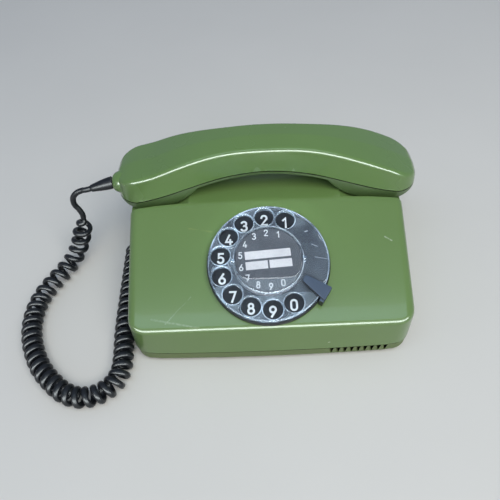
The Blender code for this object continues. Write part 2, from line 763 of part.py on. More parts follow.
def make_screws(material):
    for index, (side, y) in enumerate(CORNERS):
        top = TRAY_UNDERSIDE_Z + SCREW_HEAD_HEIGHT
        tip = top + SCREW_LENGTH - 2.0 * SCREW_RADIUS
        profile = [
            (0.0, tip + SCREW_RADIUS),
            (SCREW_RADIUS, tip),
            (SCREW_RADIUS, top),
            (SCREW_HEAD_RADIUS, top),
            (SCREW_HEAD_RADIUS, TRAY_UNDERSIDE_Z + SCREW_SLOT),
            (SCREW_HEAD_RADIUS - SCREW_SLOT, TRAY_UNDERSIDE_Z),
            (0.0, TRAY_UNDERSIDE_Z),
        ]
        screw = turned("case_screw_%d" % (index + 1), profile, 8, material)
        screw.location = (side * BOSS_X, y, 0.0)
        slot_low = (-SCREW_HEAD_RADIUS - GAP, -0.5 * SCREW_SLOT, TRAY_UNDERSIDE_Z - OVERRUN)
        slot_high = (SCREW_HEAD_RADIUS + GAP, 0.5 * SCREW_SLOT, TRAY_UNDERSIDE_Z + SCREW_SLOT)
        slot = box("screw_slot_%d" % (index + 1), slot_low, slot_high)
        slot.location = screw.location
        cut(screw, slot)


def make_feet(material):
    for index, (side, y) in enumerate(FOOT_PLACES):
        top = TRAY_UNDERSIDE_Z - GAP
        catch = FLOOR_Z + GAP
        profile = [
            (0.0, catch + FOOT_BULB_HEIGHT),
            (FOOT_STEM_RADIUS, catch + FOOT_BULB_HEIGHT),
            (FOOT_BULB_RADIUS, catch),
            (FOOT_STEM_RADIUS, catch),
            (FOOT_STEM_RADIUS, top),
            (FOOT_RADIUS, top),
            (FOOT_RADIUS - FOOT_EDGE, 0.0),
            (0.0, 0.0),
        ]
        foot = turned("foot_%d" % (index + 1), profile, 10, material)
        foot.location = (side * FOOT_X, y, 0.0)


# Dial: number plate, finger wheel, card, cover, stop
def dial_empty():
    empty = bpy.data.objects.new("dial_axis", None)
    parts.objects.link(empty)
    empty.location = (0.0, DIAL_Y, DIAL_Z)
    empty.rotation_euler = (SLOPE_ANGLE, 0.0, 0.0)
    return empty


def make_number_plate(axis, material):
    floor = BEZEL_FLOOR_TOP
    inside = BEZEL_RADIUS - BEZEL_RIM_WIDTH
    skirt = DIAL_OPENING_RADIUS - FIT
    profile = [
        (BEZEL_RADIUS, BEZEL_RIM_HEIGHT),
        (BEZEL_RADIUS, GAP),
        (skirt, GAP),
        (skirt, -BEZEL_SKIRT_DEPTH),
        (skirt - BEZEL_SKIRT_WALL, -BEZEL_SKIRT_DEPTH),
        (skirt - BEZEL_SKIRT_WALL, floor - BEZEL_FLOOR),
        (SHAFT_RADIUS + FIT, floor - BEZEL_FLOOR),
        (SHAFT_RADIUS + FIT, floor),
        (inside, floor),
        (inside, BEZEL_RIM_HEIGHT),
    ]
    smooth(turned("number_plate", profile, 32, material, axis, closed=True))


def make_finger_wheel(axis, material):
    mean = WHEEL_LIFT + 0.5 * WHEEL_THICKNESS
    rim = arc(WHEEL_RADIUS, 36)
    bore = arc(HUB_RADIUS - HUB_WALL, 24)
    loops = [rim, bore]
    for index in range(HOLE_COUNT):
        angle = FIRST_HOLE_ANGLE + index * HOLE_STEP
        centre = (HOLE_PITCH_RADIUS * math.cos(angle), HOLE_PITCH_RADIUS * math.sin(angle))
        loops.append(arc(HOLE_RADIUS, 12, centre))
    wheel = outline("finger_wheel", loops, WHEEL_THICKNESS, material, axis,
                    Matrix.Translation((0.0, 0.0, mean)))
    wheel.matrix_world = axis_matrix()


def arc(radius, count, centre=(0.0, 0.0), start=0.0):
    return [(centre[0] + radius * math.cos(start + TURN * index / count),
             centre[1] + radius * math.sin(start + TURN * index / count))
            for index in range(count)]


def axis_matrix():
    return Matrix.LocRotScale(Vector((0.0, DIAL_Y, DIAL_Z)),
                              Euler((SLOPE_ANGLE, 0.0, 0.0)), None)


def make_dial_centre(axis, hub_material, card_material, cover_material):
    seat = HUB_CARD_LIFT
    outer = HUB_RADIUS - HUB_WALL - GAP
    hub_profile = [
        (outer, seat),
        (outer, WHEEL_LIFT),
        (outer - HUB_WALL, WHEEL_LIFT),
        (outer - HUB_WALL, seat - HUB_WALL),
        (SHAFT_RADIUS + FIT, seat - HUB_WALL),
        (SHAFT_RADIUS + FIT, seat),
    ]
    smooth(turned("card_holder", hub_profile, 24, hub_material, axis, closed=True))
    low = seat + GAP
    high = low + CARD_THICKNESS
    smooth(turned("number_card", [(0.0, high), (outer, high), (outer, low), (0.0, low)],
                  24, card_material, axis))
    lens_low = high + GAP
    lens_high = lens_low + COVER_THICKNESS
    skirt_low = WHEEL_LIFT + WHEEL_THICKNESS + GAP
    inner = outer + GAP
    cover_profile = [
        (0.0, lens_high + 0.5 * COVER_LIP),
        (COVER_RADIUS - COVER_LIP, lens_high),
        (COVER_RADIUS, lens_high - 0.5 * COVER_LIP),
        (COVER_RADIUS, skirt_low),
        (inner, skirt_low),
        (inner, lens_low),
        (0.0, lens_low),
    ]
    cover = smooth(turned("card_cover", cover_profile, 24, cover_material, axis))
    for side, word in ((-1.0, "left"), (1.0, "right")):
        pin = cylinder("cover_snap_" + word, SNAP_RADIUS, skirt_low, lens_high + SNAP_HEIGHT,
                       (side * COVER_RADIUS, 0.0), 8, parent=axis)
        join(cover, pin)


def make_dial_shaft(axis, material):
    top = HUB_CARD_LIFT - GAP
    bottom = -(FRAME_TOP_DEPTH + 2.0 * FRAME_PLATE + FRAME_SPACE + GAP)
    collar = FRAME_TOP_DEPTH + FRAME_PLATE + GAP
    profile = [
        (0.0, top),
        (SHAFT_RADIUS, top),
        (SHAFT_RADIUS, -collar),
        (SHAFT_RADIUS - FIT, -collar),
        (SHAFT_RADIUS - FIT, bottom),
        (0.0, bottom),
    ]
    smooth(turned("dial_shaft", profile, 16, material, axis))


def make_finger_stop(axis, material):
    """Wedge over the wheel's rim, with a leg down outside the bezel."""
    low = WHEEL_LIFT + WHEEL_THICKNESS + STOP_CLEARANCE
    high = low + STOP_THICKNESS
    leg_in = BEZEL_RADIUS + GAP
    run = STOP_OUTER_RADIUS - STOP_INNER_RADIUS
    rings = []
    for radius in (STOP_INNER_RADIUS, leg_in, STOP_OUTER_RADIUS):
        share = (radius - STOP_INNER_RADIUS) / run
        half = 0.5 * (STOP_INNER_WIDTH + (STOP_OUTER_WIDTH - STOP_INNER_WIDTH) * share)
        middle = STOP_LEAN * (1.0 - share)
        rings.append([Vector((radius, middle - half, low)), Vector((radius, middle + half, low)),
                      Vector((radius, middle + half, high)),
                      Vector((radius, middle - half, high))])
    stop = loft("finger_stop", rings, material, axis)
    half = 0.5 * STOP_OUTER_WIDTH - 0.1 * STOP_INNER_WIDTH
    leg = box("stop_leg", (leg_in, -half, GAP), (STOP_OUTER_RADIUS - GAP, half, low + GAP))
    leg.parent = axis
    leg.rotation_euler = (0.0, 0.0, STOP_ANGLE)
    stop.rotation_euler = (0.0, 0.0, STOP_ANGLE)
    join(stop, leg)
    round_edges(stop, 0.25 * STOP_CLEARANCE + GAP, 1)


# Gears with straight-flanked teeth
def gear_loop(teeth, phase):
    pitch = 0.5 * GEAR_MODULE * teeth
    tip = pitch + ADDENDUM_SHARE * GEAR_MODULE
    root = pitch - DEDENDUM_SHARE * GEAR_MODULE
    step = TURN / teeth
    loop = []
    for index in range(teeth):
        middle = phase + index * step
        for radius, share in ((root, -TOOTH_ROOT_SHARE), (tip, -TOOTH_TIP_SHARE),
                              (tip, TOOTH_TIP_SHARE), (root, TOOTH_ROOT_SHARE)):
            half = share * step * (1.0 if radius == tip else 0.78)
            loop.append((radius * math.cos(middle + half), radius * math.sin(middle + half)))
    return loop


def gear(name, teeth, phase, mean, thickness, bore, material, axis, centre=(0.0, 0.0)):
    loops = [gear_loop(teeth, phase)]
    if bore:
        loops.append(arc(bore, 12))
    shift = Matrix.Translation((centre[0], centre[1], mean))
    wheel = outline(name, loops, thickness, material, axis, shift)
    wheel.matrix_world = axis_matrix()
    return wheel


TOP_PLATE_LOW = -(FRAME_TOP_DEPTH + FRAME_PLATE)
BACK_PLATE_HIGH = TOP_PLATE_LOW - FRAME_SPACE
MAIN_GEAR_MEAN = BACK_PLATE_HIGH + 0.3 * FRAME_SPACE
PULSE_DISTANCE = 0.5 * GEAR_MODULE * (MAIN_TEETH + PINION_TEETH) + MESH_PLAY
GOVERNOR_DISTANCE = 0.5 * GEAR_MODULE * (WHEEL_TEETH + GOVERNOR_TEETH) + MESH_PLAY
SECOND_MEAN = MAIN_GEAR_MEAN + PINION_THICKNESS + GAP
PULSE_PLACE = (PULSE_DISTANCE * math.cos(PULSE_ANGLE), PULSE_DISTANCE * math.sin(PULSE_ANGLE))
GOVERNOR_TURN = PULSE_ANGLE + GOVERNOR_ANGLE + QUARTER
GOVERNOR_PLACE = (PULSE_PLACE[0] + GOVERNOR_DISTANCE * math.cos(GOVERNOR_TURN),
                  PULSE_PLACE[1] + GOVERNOR_DISTANCE * math.sin(GOVERNOR_TURN))


def make_dial_frame(axis, material):
    top = turned("dial_top_plate", [
        (FRAME_RADIUS, -FRAME_TOP_DEPTH),
        (FRAME_RADIUS, TOP_PLATE_LOW),
        (SHAFT_RADIUS + FIT, TOP_PLATE_LOW),
        (SHAFT_RADIUS + FIT, -FRAME_TOP_DEPTH),
    ], 20, material, axis, closed=True)
    low = BACK_PLATE_HIGH - FRAME_PLATE
    back = turned("dial_back_plate", [
        (FRAME_RADIUS, BACK_PLATE_HIGH),
        (FRAME_RADIUS, low),
        (SHAFT_RADIUS, low),
        (SHAFT_RADIUS, BACK_PLATE_HIGH),
    ], 20, material, axis, closed=True)
    for index, angle in enumerate(PILLAR_ANGLES):
        centre = (PILLAR_PITCH_RADIUS * math.cos(angle), PILLAR_PITCH_RADIUS * math.sin(angle))
        join(back, cylinder("dial_pillar_%d" % index, PILLAR_RADIUS,
                            BACK_PLATE_HIGH - 0.5 * FRAME_PLATE, TOP_PLATE_LOW - GAP,
                            centre, 8, parent=axis))
    for word, centre in (("pulse", PULSE_PLACE), ("governor", GOVERNOR_PLACE)):
        for plate, tag in ((top, "top"), (back, "back")):
            cut(plate, cylinder("%s_bearing_%s" % (word, tag), SPINDLE_RADIUS + GAP,
                                low - OVERRUN, OVERRUN, centre, 10, parent=axis))


def make_pulse_wheel(axis, material):
    """Pinion on the main gear, second wheel and two-lobed cam on one spindle."""
    low = BACK_PLATE_HIGH - 0.7 * FRAME_PLATE
    high = TOP_PLATE_LOW + 0.7 * FRAME_PLATE
    spindle = cylinder("pulse_wheel", SPINDLE_RADIUS, low, high, PULSE_PLACE, 10,
                       material, axis)
    phase = PULSE_ANGLE + math.pi + 0.5 * TURN / PINION_TEETH
    pinion = gear("pulse_pinion", PINION_TEETH, phase, MAIN_GEAR_MEAN, PINION_THICKNESS,
                  0.0, None, axis, PULSE_PLACE)
    join(spindle, pinion)
    wheel = gear("second_wheel", WHEEL_TEETH, GOVERNOR_TURN, SECOND_MEAN, GEAR_THICKNESS,
                 0.0, None, axis, PULSE_PLACE)
    join(spindle, wheel)
    cam_mean = SECOND_MEAN + GEAR_THICKNESS + CAM_THICKNESS
    lobes = []
    for index in range(12):
        angle = TURN * index / 12
        radius = CAM_RADIUS - CAM_NOTCH * (0.5 + 0.5 * math.cos(2.0 * angle))
        lobes.append((radius * math.cos(angle), radius * math.sin(angle)))
    cam = outline("pulse_cam", [lobes], CAM_THICKNESS, None, axis,
                  Matrix.Translation((PULSE_PLACE[0], PULSE_PLACE[1], cam_mean)))
    cam.matrix_world = axis_matrix()
    join(spindle, cam)
    return cam_mean


def make_governor(axis, material, cup_material):
    low = BACK_PLATE_HIGH - 0.7 * FRAME_PLATE
    high = TOP_PLATE_LOW + 0.7 * FRAME_PLATE
    rotor = cylinder("governor", SPINDLE_RADIUS, low, high, GOVERNOR_PLACE, 10, material, axis)
    phase = GOVERNOR_TURN + math.pi + 0.5 * TURN / GOVERNOR_TEETH
    join(rotor, gear("governor_pinion", GOVERNOR_TEETH, phase, SECOND_MEAN,
                     PINION_THICKNESS, 0.0, None, axis, GOVERNOR_PLACE))
    arm_mean = SECOND_MEAN + PINION_THICKNESS + 0.5 * WEIGHT_HEIGHT
    arm_low = arm_mean - SPINDLE_RADIUS * 0.5
    arm_high = arm_mean + SPINDLE_RADIUS * 0.5
    join(rotor, box("governor_arm",
                    (GOVERNOR_PLACE[0] - WEIGHT_ARM, GOVERNOR_PLACE[1] - 0.5 * WEIGHT_RADIUS,
                     arm_low),
                    (GOVERNOR_PLACE[0] + WEIGHT_ARM, GOVERNOR_PLACE[1] + 0.5 * WEIGHT_RADIUS,
                     arm_high), parent=axis))
    for side, word in ((-1.0, "left"), (1.0, "right")):
        centre = (GOVERNOR_PLACE[0] + side * WEIGHT_ARM, GOVERNOR_PLACE[1])
        join(rotor, cylinder("governor_weight_" + word, WEIGHT_RADIUS,
                             arm_mean - 0.5 * WEIGHT_HEIGHT, arm_mean + 0.5 * WEIGHT_HEIGHT,
                             centre, 8, parent=axis))
    cup_high = TOP_PLATE_LOW - GAP
    cup_low = cup_high - CUP_HEIGHT
    profile = [
        (CUP_RADIUS + CUP_WALL, cup_high),
        (CUP_RADIUS + CUP_WALL, cup_low),
        (CUP_RADIUS, cup_low),
        (CUP_RADIUS, cup_high - CUP_WALL),
        (SPINDLE_RADIUS + FIT, cup_high - CUP_WALL),
        (SPINDLE_RADIUS + FIT, cup_high),
    ]
    cup = smooth(turned("governor_cup", profile, 16, cup_material, axis, closed=True))
    cup.location = (GOVERNOR_PLACE[0], GOVERNOR_PLACE[1], 0.0)


def make_return_spring(axis, material):
    """Flat spiral spring between the shaft and the frame's first pillar."""
    mean = TOP_PLATE_LOW - GAP - 0.5 * SPRING_HEIGHT
    inner = SHAFT_RADIUS + FIT
    count = SPRING_TURNS * SPRING_POINTS
    outer_line = []
    inner_line = []
    for index in range(count + 1):
        angle = PILLAR_ANGLES[0] + TURN * index / SPRING_POINTS
        radius = inner + (SPRING_OUTER_RADIUS - inner) * index / count
        outer_line.append(((radius + SPRING_STRIP) * math.cos(angle),
                           (radius + SPRING_STRIP) * math.sin(angle)))
        inner_line.append((radius * math.cos(angle), radius * math.sin(angle)))
    reach = PILLAR_PITCH_RADIUS - PILLAR_RADIUS - GAP
    angle = PILLAR_ANGLES[0]
    outer_line.append((reach * math.cos(angle) - SPRING_STRIP * math.sin(angle),
                       reach * math.sin(angle) + SPRING_STRIP * math.cos(angle)))
    inner_line.append((reach * math.cos(angle), reach * math.sin(angle)))
    spring = outline("return_spring", [outer_line + inner_line[::-1]], SPRING_HEIGHT,
                     material, axis, Matrix.Translation((0.0, 0.0, mean)))
    spring.matrix_world = axis_matrix()


# Handset
def handset_half_y(x, inset):
    """Half depth of the handset in plan: waisted grip, rounded ends."""
    reach = abs(x)
    share = min(max((reach - WAIST_START) / (WAIST_END - WAIST_START), 0.0), 1.0)
    blend = share * share * (3.0 - 2.0 * share)
    half = HANDSET_GRIP_HALF + (HANDSET_END_HALF - HANDSET_GRIP_HALF) * blend
    radius = HANDSET_PLAN_RADIUS - inset
    distance = HANDSET_HALF_LENGTH - inset - reach
    return half - inset - quarter_inset(max(distance, 0.0), radius)


def handset_top(x, inset):
    share = abs(x) / HANDSET_HALF_LENGTH
    distance = HANDSET_HALF_LENGTH - inset - abs(x)
    fall = HANDSET_TOP_DROP * share ** HANDSET_TOP_POWER
    near = min(max(1.0 - (HANDSET_HALF_LENGTH + x) / LEFT_LIFT_RUN, 0.0), 1.0)
    lift = LEFT_END_LIFT * near * near * (3.0 - 2.0 * near)
    round_off = quarter_inset(max(distance, 0.0), HANDSET_END_RADIUS)
    return HANDSET_TOP_Z - fall + lift - inset - round_off


def handset_seam(x):
    share = min(abs(x) / HANDSET_SEAM_REACH, 1.0)
    return HANDSET_SEAM_Z - HANDSET_SEAM_DROP * (1.0 - (1.0 - share ** 1.6) ** 1.25)


def cup_curve(reach):
    """Underside of a cup where it swells down from the grip to its flat face."""
    share = min(max((reach - CUP_START_X) / (CUP_FLAT_X - CUP_START_X), 0.0), 1.0)
    start = handset_seam(CUP_START_X) - GRIP_SKIN
    return CUP_BOTTOM_Z + (start - CUP_BOTTOM_Z) * (1.0 - math.sin(QUARTER * share))


def handset_bottom(x):
    seam = handset_seam(x)
    grip = seam - GRIP_SKIN
    reach = abs(x + CUP_BIAS)
    if reach <= CUP_START_X:
        return grip
    if reach <= CUP_FLAT_X:
        return min(cup_curve(reach), grip)
    reach = abs(x)
    if reach <= CUP_RISE_X:
        return CUP_BOTTOM_Z
    share = (reach - CUP_RISE_X) / (HANDSET_HALF_LENGTH - CUP_RISE_X)
    return CUP_BOTTOM_Z + CUP_END_RISE * share ** 2


def upper_ring(x, inset, overrun):
    half = handset_half_y(x, inset)
    seam = handset_seam(x) + 0.5 * GAP - overrun
    top = handset_top(x, inset)
    lean = HANDSET_LEAN
    crown = HANDSET_CROWN
    radius = HANDSET_EDGE_RADIUS
    corners = [
        (-half, seam),
        (-half + lean, top),
        (0.0, top + crown),
        (half - lean, top),
        (half, seam),
    ]
    steps = (3, 1, 3) if inset == 0.0 else (1, 1, 1)
    line = fillet(corners, (radius, 4.0 * radius, radius), steps)
    return [Vector((x + HANDSET_SHIFT_X, HANDSET_MID_Y + y, z)) for y, z in line]


def lower_ring(x, inset, overrun):
    half = handset_half_y(x, inset)
    seam = handset_seam(x) - 0.5 * GAP + overrun
    bottom = handset_bottom(x) + inset
    depth = seam - bottom
    full = handset_seam(CUP_FLAT_X) - CUP_BOTTOM_Z
    share = min(depth / full, 1.0)
    draft = CUP_DRAFT * share
    belly = GRIP_BELLY * (1.0 - 0.8 * min(max((abs(x) - WAIST_START) / CUP_START_X, 0.0), 1.0))
    corners = [
        (-half, seam),
        (-half + draft, bottom),
        (0.0, bottom - belly),
        (half - draft, bottom),
        (half, seam),
    ]
    radius = CUP_EDGE_RADIUS
    steps = (2, 1, 2) if inset == 0.0 else (1, 1, 1)
    line = fillet(corners, (radius, 4.0 * radius, radius), steps)
    return [Vector((x + HANDSET_SHIFT_X, HANDSET_MID_Y + y, z)) for y, z in line]


OUTER_SHARES = (0.0, 0.14, 0.27, 0.38, 0.48, 0.58, 0.67, 0.76, 0.845, 0.895, 0.935, 0.965,
                0.985, 0.996, 1.0)
GRIP_SHARES = (0.0, 0.33, 0.63, 0.84)
CUP_SHARES = (0.0, 0.095, 0.25, 0.456, 0.697)
END_SHARES = (0.0, 0.45, 0.627, 0.769, 0.876, 0.947, 0.986, 1.0)
INNER_SHARES = (0.0, 0.2, 0.38, 0.53, 0.66, 0.78, 0.87, 0.93, 0.96)
CAVITY_SHARES = (0.18, 0.284, 0.406, 0.529, 0.651, 0.773, 0.861, 0.922)


def mirrored(stops):
    return [-stop for stop in reversed(stops) if stop > 0.0] + list(stops)


def along(start, end, shares):
    return [start + (end - start) * share for share in shares]


def make_handset_shells(upper_material, lower_material):
    length = HANDSET_HALF_LENGTH
    upper = loft("handset_upper_shell", [upper_ring(share * length, 0.0, 0.0)
                                         for share in mirrored(OUTER_SHARES)], upper_material)
    room = loft("handset_room", [upper_ring(share * length, HANDSET_WALL, OVERRUN)
                                 for share in mirrored(INNER_SHARES)], as_cut=True)
    change(upper, room, "DIFFERENCE")
    collar = turned("cord_collar", [
        (0.0, COLLAR_LENGTH),
        (COLLAR_RADIUS - COLLAR_EDGE, COLLAR_LENGTH),
        (COLLAR_RADIUS - 0.3 * COLLAR_EDGE, COLLAR_LENGTH - 0.3 * COLLAR_EDGE),
        (COLLAR_RADIUS, COLLAR_LENGTH - COLLAR_EDGE),
        (COLLAR_RADIUS, -COLLAR_SINK),
        (0.0, -COLLAR_SINK),
    ], 24)
    collar.location = (HANDSET_SHIFT_X - length, COLLAR_Y, COLLAR_Z)
    collar.rotation_euler = (0.0, -QUARTER, 0.0)
    join(upper, collar)
    stops = []
    for side in (-1.0, 1.0):
        start = CUP_START_X - side * CUP_BIAS
        flat = CUP_FLAT_X - side * CUP_BIAS
        run = (along(0.0, start, GRIP_SHARES) + along(start, flat, CUP_SHARES)
               + along(flat, length, END_SHARES))
        stops += [side * reach for reach in run[::int(side)]][:-1 if side < 0.0 else None]
    lower = loft("handset_lower_shell", [lower_ring(x, 0.0, 0.0) for x in stops],
                 lower_material)
    for side, word in ((-1.0, "left"), (1.0, "right")):
        reaches = along(CUP_START_X - side * CUP_BIAS, length, CAVITY_SHARES)[::int(side)]
        rings = [lower_ring(side * reach, HANDSET_WALL, OVERRUN) for reach in reaches]
        change(lower, loft("cup_room_" + word, rings, as_cut=True), "DIFFERENCE")
        middle = (side * CAPSULE_X + CUP_MIDDLE_X, HANDSET_MID_Y)
        places = [middle] + arc(GRILLE_PITCH_RADIUS, GRILLE_HOLES, middle)
        for index, centre in enumerate(places):
            cut(lower, cylinder("grille_%s_%d" % (word, index), GRILLE_RADIUS,
                                CUP_BOTTOM_Z - OVERRUN, CUP_BOTTOM_Z + OVERRUN, centre, 6))


def make_capsules(material):
    for side, name in ((-1.0, "transmitter_capsule"), (1.0, "receiver_capsule")):
        low = CUP_BOTTOM_Z + HANDSET_WALL + GAP
        ledge = low + CAPSULE_NOSE
        high = ledge + CAPSULE_HEIGHT
        profile = [
            (0.0, high),
            (CAPSULE_RADIUS - FIT * 4.0, high),
            (CAPSULE_RADIUS, high - 0.3 * CAPSULE_HEIGHT),
            (CAPSULE_RADIUS, ledge),
            (CAPSULE_NOSE_RADIUS, ledge),
            (CAPSULE_NOSE_RADIUS, low),
            (0.0, low),
        ]
        capsule = smooth(turned(name, profile, 16, material))
        capsule.location = (side * CAPSULE_X + CUP_MIDDLE_X, HANDSET_MID_Y, 0.0)


# Curly cord. The route is its middle line, from the handset's relief over the table to
# the case's gland: a hanging lead, a loop on the table, a run along the case, a tail.
CORD_ROUTE = [
    (-0.1212, 0.0206, 0.0712), (-0.1268, 0.0202, 0.0712), (-0.1318, 0.0200, 0.0688),
    (-0.1352, 0.0200, 0.0640), (-0.1358, 0.0199, 0.0580), (-0.1338, 0.0197, 0.0530),
    (-0.1326, 0.0192, 0.0470), (-0.1348, 0.0184, 0.0385), (-0.1378, 0.0170, 0.0295),
    (-0.1412, 0.0146, 0.0212), (-0.1452, 0.0106, 0.0147), (-0.1498, 0.0052, 0.0103),
    (-0.1548, -0.0016, 0.0083), (-0.1598, -0.0098, 0.0078), (-0.1645, -0.0194, 0.0077),
    (-0.1672, -0.0290, 0.0077), (-0.1682, -0.0400, 0.0077), (-0.1668, -0.0530, 0.0077),
    (-0.1622, -0.0670, 0.0077), (-0.1545, -0.0810, 0.0077), (-0.1450, -0.0918, 0.0077),
    (-0.1345, -0.1003, 0.0077), (-0.1235, -0.1040, 0.0077), (-0.1125, -0.1020, 0.0077),
    (-0.1040, -0.0958, 0.0077), (-0.0998, -0.0862, 0.0077), (-0.0996, -0.0745, 0.0077),
    (-0.1008, -0.0600, 0.0077), (-0.1014, -0.0440, 0.0077), (-0.1016, -0.0260, 0.0077),
    (-0.1018, -0.0080, 0.0077), (-0.1020, 0.0100, 0.0077), (-0.1022, 0.0260, 0.0073),
    (-0.1026, 0.0420, 0.0040), (-0.1028, 0.0590, 0.0025), (-0.1005, 0.0760, 0.0025),
    (-0.0920, 0.0900, 0.0030), (-0.0800, 0.0975, 0.0050), (-0.0690, 0.0960, 0.0076),
    (-0.0630, 0.0900, 0.0090),
]


def smooth_route(points, spacing):
    """Catmull-Rom curve through the points, read at an even spacing."""
    knots = [Vector(point) for point in points]
    knots = [2.0 * knots[0] - knots[1]] + knots + [2.0 * knots[-1] - knots[-2]]
    fine = []
    for a, b, c, d in zip(knots, knots[1:], knots[2:], knots[3:]):
        for index in range(24):
            t = index / 24
            fine.append(0.5 * (2.0 * b + (c - a) * t + (2.0 * a - 5.0 * b + 4.0 * c - d) * t ** 2
                               + (3.0 * b - a - 3.0 * c + d) * t ** 3))
    fine.append(knots[-2])
    lengths = [0.0]
    for first, second in zip(fine, fine[1:]):
        lengths.append(lengths[-1] + (second - first).length)
    count = max(int(round(lengths[-1] / spacing)), 2)
    even = []
    cursor = 0
    for index in range(count + 1):
        target = lengths[-1] * index / count
        while cursor < len(lengths) - 2 and lengths[cursor + 1] < target:
            cursor += 1
        span = max(lengths[cursor + 1] - lengths[cursor], 1e-12)
        even.append(fine[cursor].lerp(fine[cursor + 1], (target - lengths[cursor]) / span))
    return even, lengths[-1]


def curly_points():
    """Wire's middle line: straight lead, curls about the route, straight lead."""
    start = relief_tip() + relief_direction() * GAP
    end = Vector((GLAND_X, CASE_HALF_DEPTH + GLAND_FLANGE + GAP, GLAND_Z))
    lead_in = start + relief_direction() * (2.0 * WIRE_RADIUS)
    lead_out = end + Vector((0.0, 2.0 * WIRE_RADIUS, 0.0))
    route = [lead_in] + [Vector(point) for point in CORD_ROUTE[1:]] + [lead_out]
    spacing = WIRE_RADIUS * 0.5
    line, length = smooth_route(route, spacing)
    step = length / (len(line) - 1)
    coil_from = COIL_START_RUN
    side = Vector((0.0, 1.0, 0.0))
    normals = []
    for index, point in enumerate(line):
        ahead = line[min(index + 1, len(line) - 1)]
        behind = line[max(index - 1, 0)]
        along = (ahead - behind).normalized()
        side = (side - along * side.dot(along)).normalized()
        normals.append((side.copy(), along.cross(side)))
    points = [start]
    lead_gap = 5.0 * WIRE_RADIUS
    travelled = 0.0
    while travelled < coil_from:
        points.append(line[int(round(travelled / step))])
        travelled += lead_gap
    count = CURL_COUNT * CURL_POINTS
    place_at = coil_from
    for index in range(count + 1):
        slot = min(place_at / step, len(line) - 1.001)
        low = int(slot)
        centre = line[low].lerp(line[low + 1], slot - low)
        across, up = normals[low]
        curl = index / CURL_POINTS
        relaxed = min(max((curl - HANG_CURLS) / SETTLE_CURLS, 0.0), 1.0)
        place_at += (HANG_PITCH + (CURL_PITCH - HANG_PITCH) * relaxed) / CURL_POINTS
        grow = min(curl / RAMP_CURLS, (CURL_COUNT - curl) / RAMP_CURLS, 1.0)
        radius = COIL_RADIUS * math.sin(QUARTER * max(grow, 0.0))
        angle = TURN * curl
        points.append(centre + across * (radius * math.cos(angle)) + up * (radius * math.sin(angle)))
    travelled = place_at + lead_gap
    while travelled < length - 0.5 * lead_gap:
        points.append(line[int(round(travelled / step))])
        travelled += lead_gap
    points.append(lead_out)
    points.append(end)
    return points


def relief_direction():
    return Vector((-0.97, -0.15, -0.17)).normalized()


def relief_start():
    return Vector((HANDSET_SHIFT_X - HANDSET_HALF_LENGTH - COLLAR_LENGTH - GAP, COLLAR_Y,
                   COLLAR_Z))


def relief_tip():
    return relief_start() + relief_direction() * RELIEF_LENGTH


def least_gap(points):
    """Least clear distance between stretches of the wire half a curl or more apart."""
    least = 1.0
    apart = CURL_POINTS // 2 + 1
    for index, (first, second) in enumerate(zip(points, points[1:])):
        for other in range(index + apart, min(index + 3 * CURL_POINTS, len(points) - 1)):
            distance = segment_distance(first, second, points[other], points[other + 1])
            least = min(least, distance)
    return least - 2.0 * WIRE_RADIUS


def segment_distance(a, b, c, d):
    best = 1.0
    for point, start, end in ((a, c, d), (b, c, d), (c, a, b), (d, a, b)):
        line = end - start
        share = min(max((point - start).dot(line) / max(line.length_squared, 1e-18), 0.0), 1.0)
        best = min(best, (point - start - line * share).length)
    return best


def make_cord(wire_material, relief_material):
    points = curly_points()
    tube("handset_cord", points, WIRE_RADIUS, 1, wire_material)
    length = sum((second - first).length for first, second in zip(points, points[1:]))
    print("cord wire length %.4f m, least gap to itself %.5f m, lowest %.5f m" % (
        length, least_gap(points), min(point.z for point in points) - WIRE_RADIUS))
    direction = relief_direction()
    turn = direction.to_track_quat("Z", "Y").to_euler()
    relief = turned("handset_cord_relief", [
        (0.0, RELIEF_LENGTH),
        (RELIEF_TIP_RADIUS, RELIEF_LENGTH),
        (0.5 * (RELIEF_TIP_RADIUS + RELIEF_ROOT_RADIUS), 0.45 * RELIEF_LENGTH),
        (RELIEF_ROOT_RADIUS, 0.12 * RELIEF_LENGTH),
        (RELIEF_ROOT_RADIUS, 0.04 * RELIEF_LENGTH),
        (0.0, 0.04 * RELIEF_LENGTH),
    ], 12, relief_material)
    relief.location = relief_start()
    relief.rotation_euler = turn
    smooth(relief)
    inside = -LIP_INSET - GAP - GLAND_FLANGE
    inner_flange = [
        (GLAND_NECK_RADIUS, inside + GLAND_FLANGE),
        (GLAND_FLANGE_RADIUS, inside + GLAND_FLANGE),
        (GLAND_FLANGE_RADIUS, inside),
    ]
    gland_profile = [
        (0.0, GLAND_FLANGE),
        (GLAND_NECK_RADIUS, GLAND_FLANGE),
        (GLAND_FLANGE_RADIUS, 0.5 * GLAND_FLANGE),
        (GLAND_FLANGE_RADIUS, GAP),
        (GLAND_NECK_RADIUS, GAP),
    ] + inner_flange + [(0.0, inside)]
    bore = GLAND_NECK_RADIUS - 2.0 * FIT
    inlet_profile = [(GLAND_NECK_RADIUS, -TRAY_SIDE_INSET)] + inner_flange + [
        (bore, inside), (bore, -TRAY_SIDE_INSET)]
    for name, across, profile, ring in (
            ("handset_cord_gland", GLAND_X, gland_profile, False),
            ("line_cord_inlet", INLET_X, inlet_profile, True)):
        gland = turned(name, profile, 12, relief_material, closed=ring)
        gland.location = (across, CASE_HALF_DEPTH, GLAND_Z)
        gland.rotation_euler = (-QUARTER, 0.0, 0.0)
        smooth(gland)


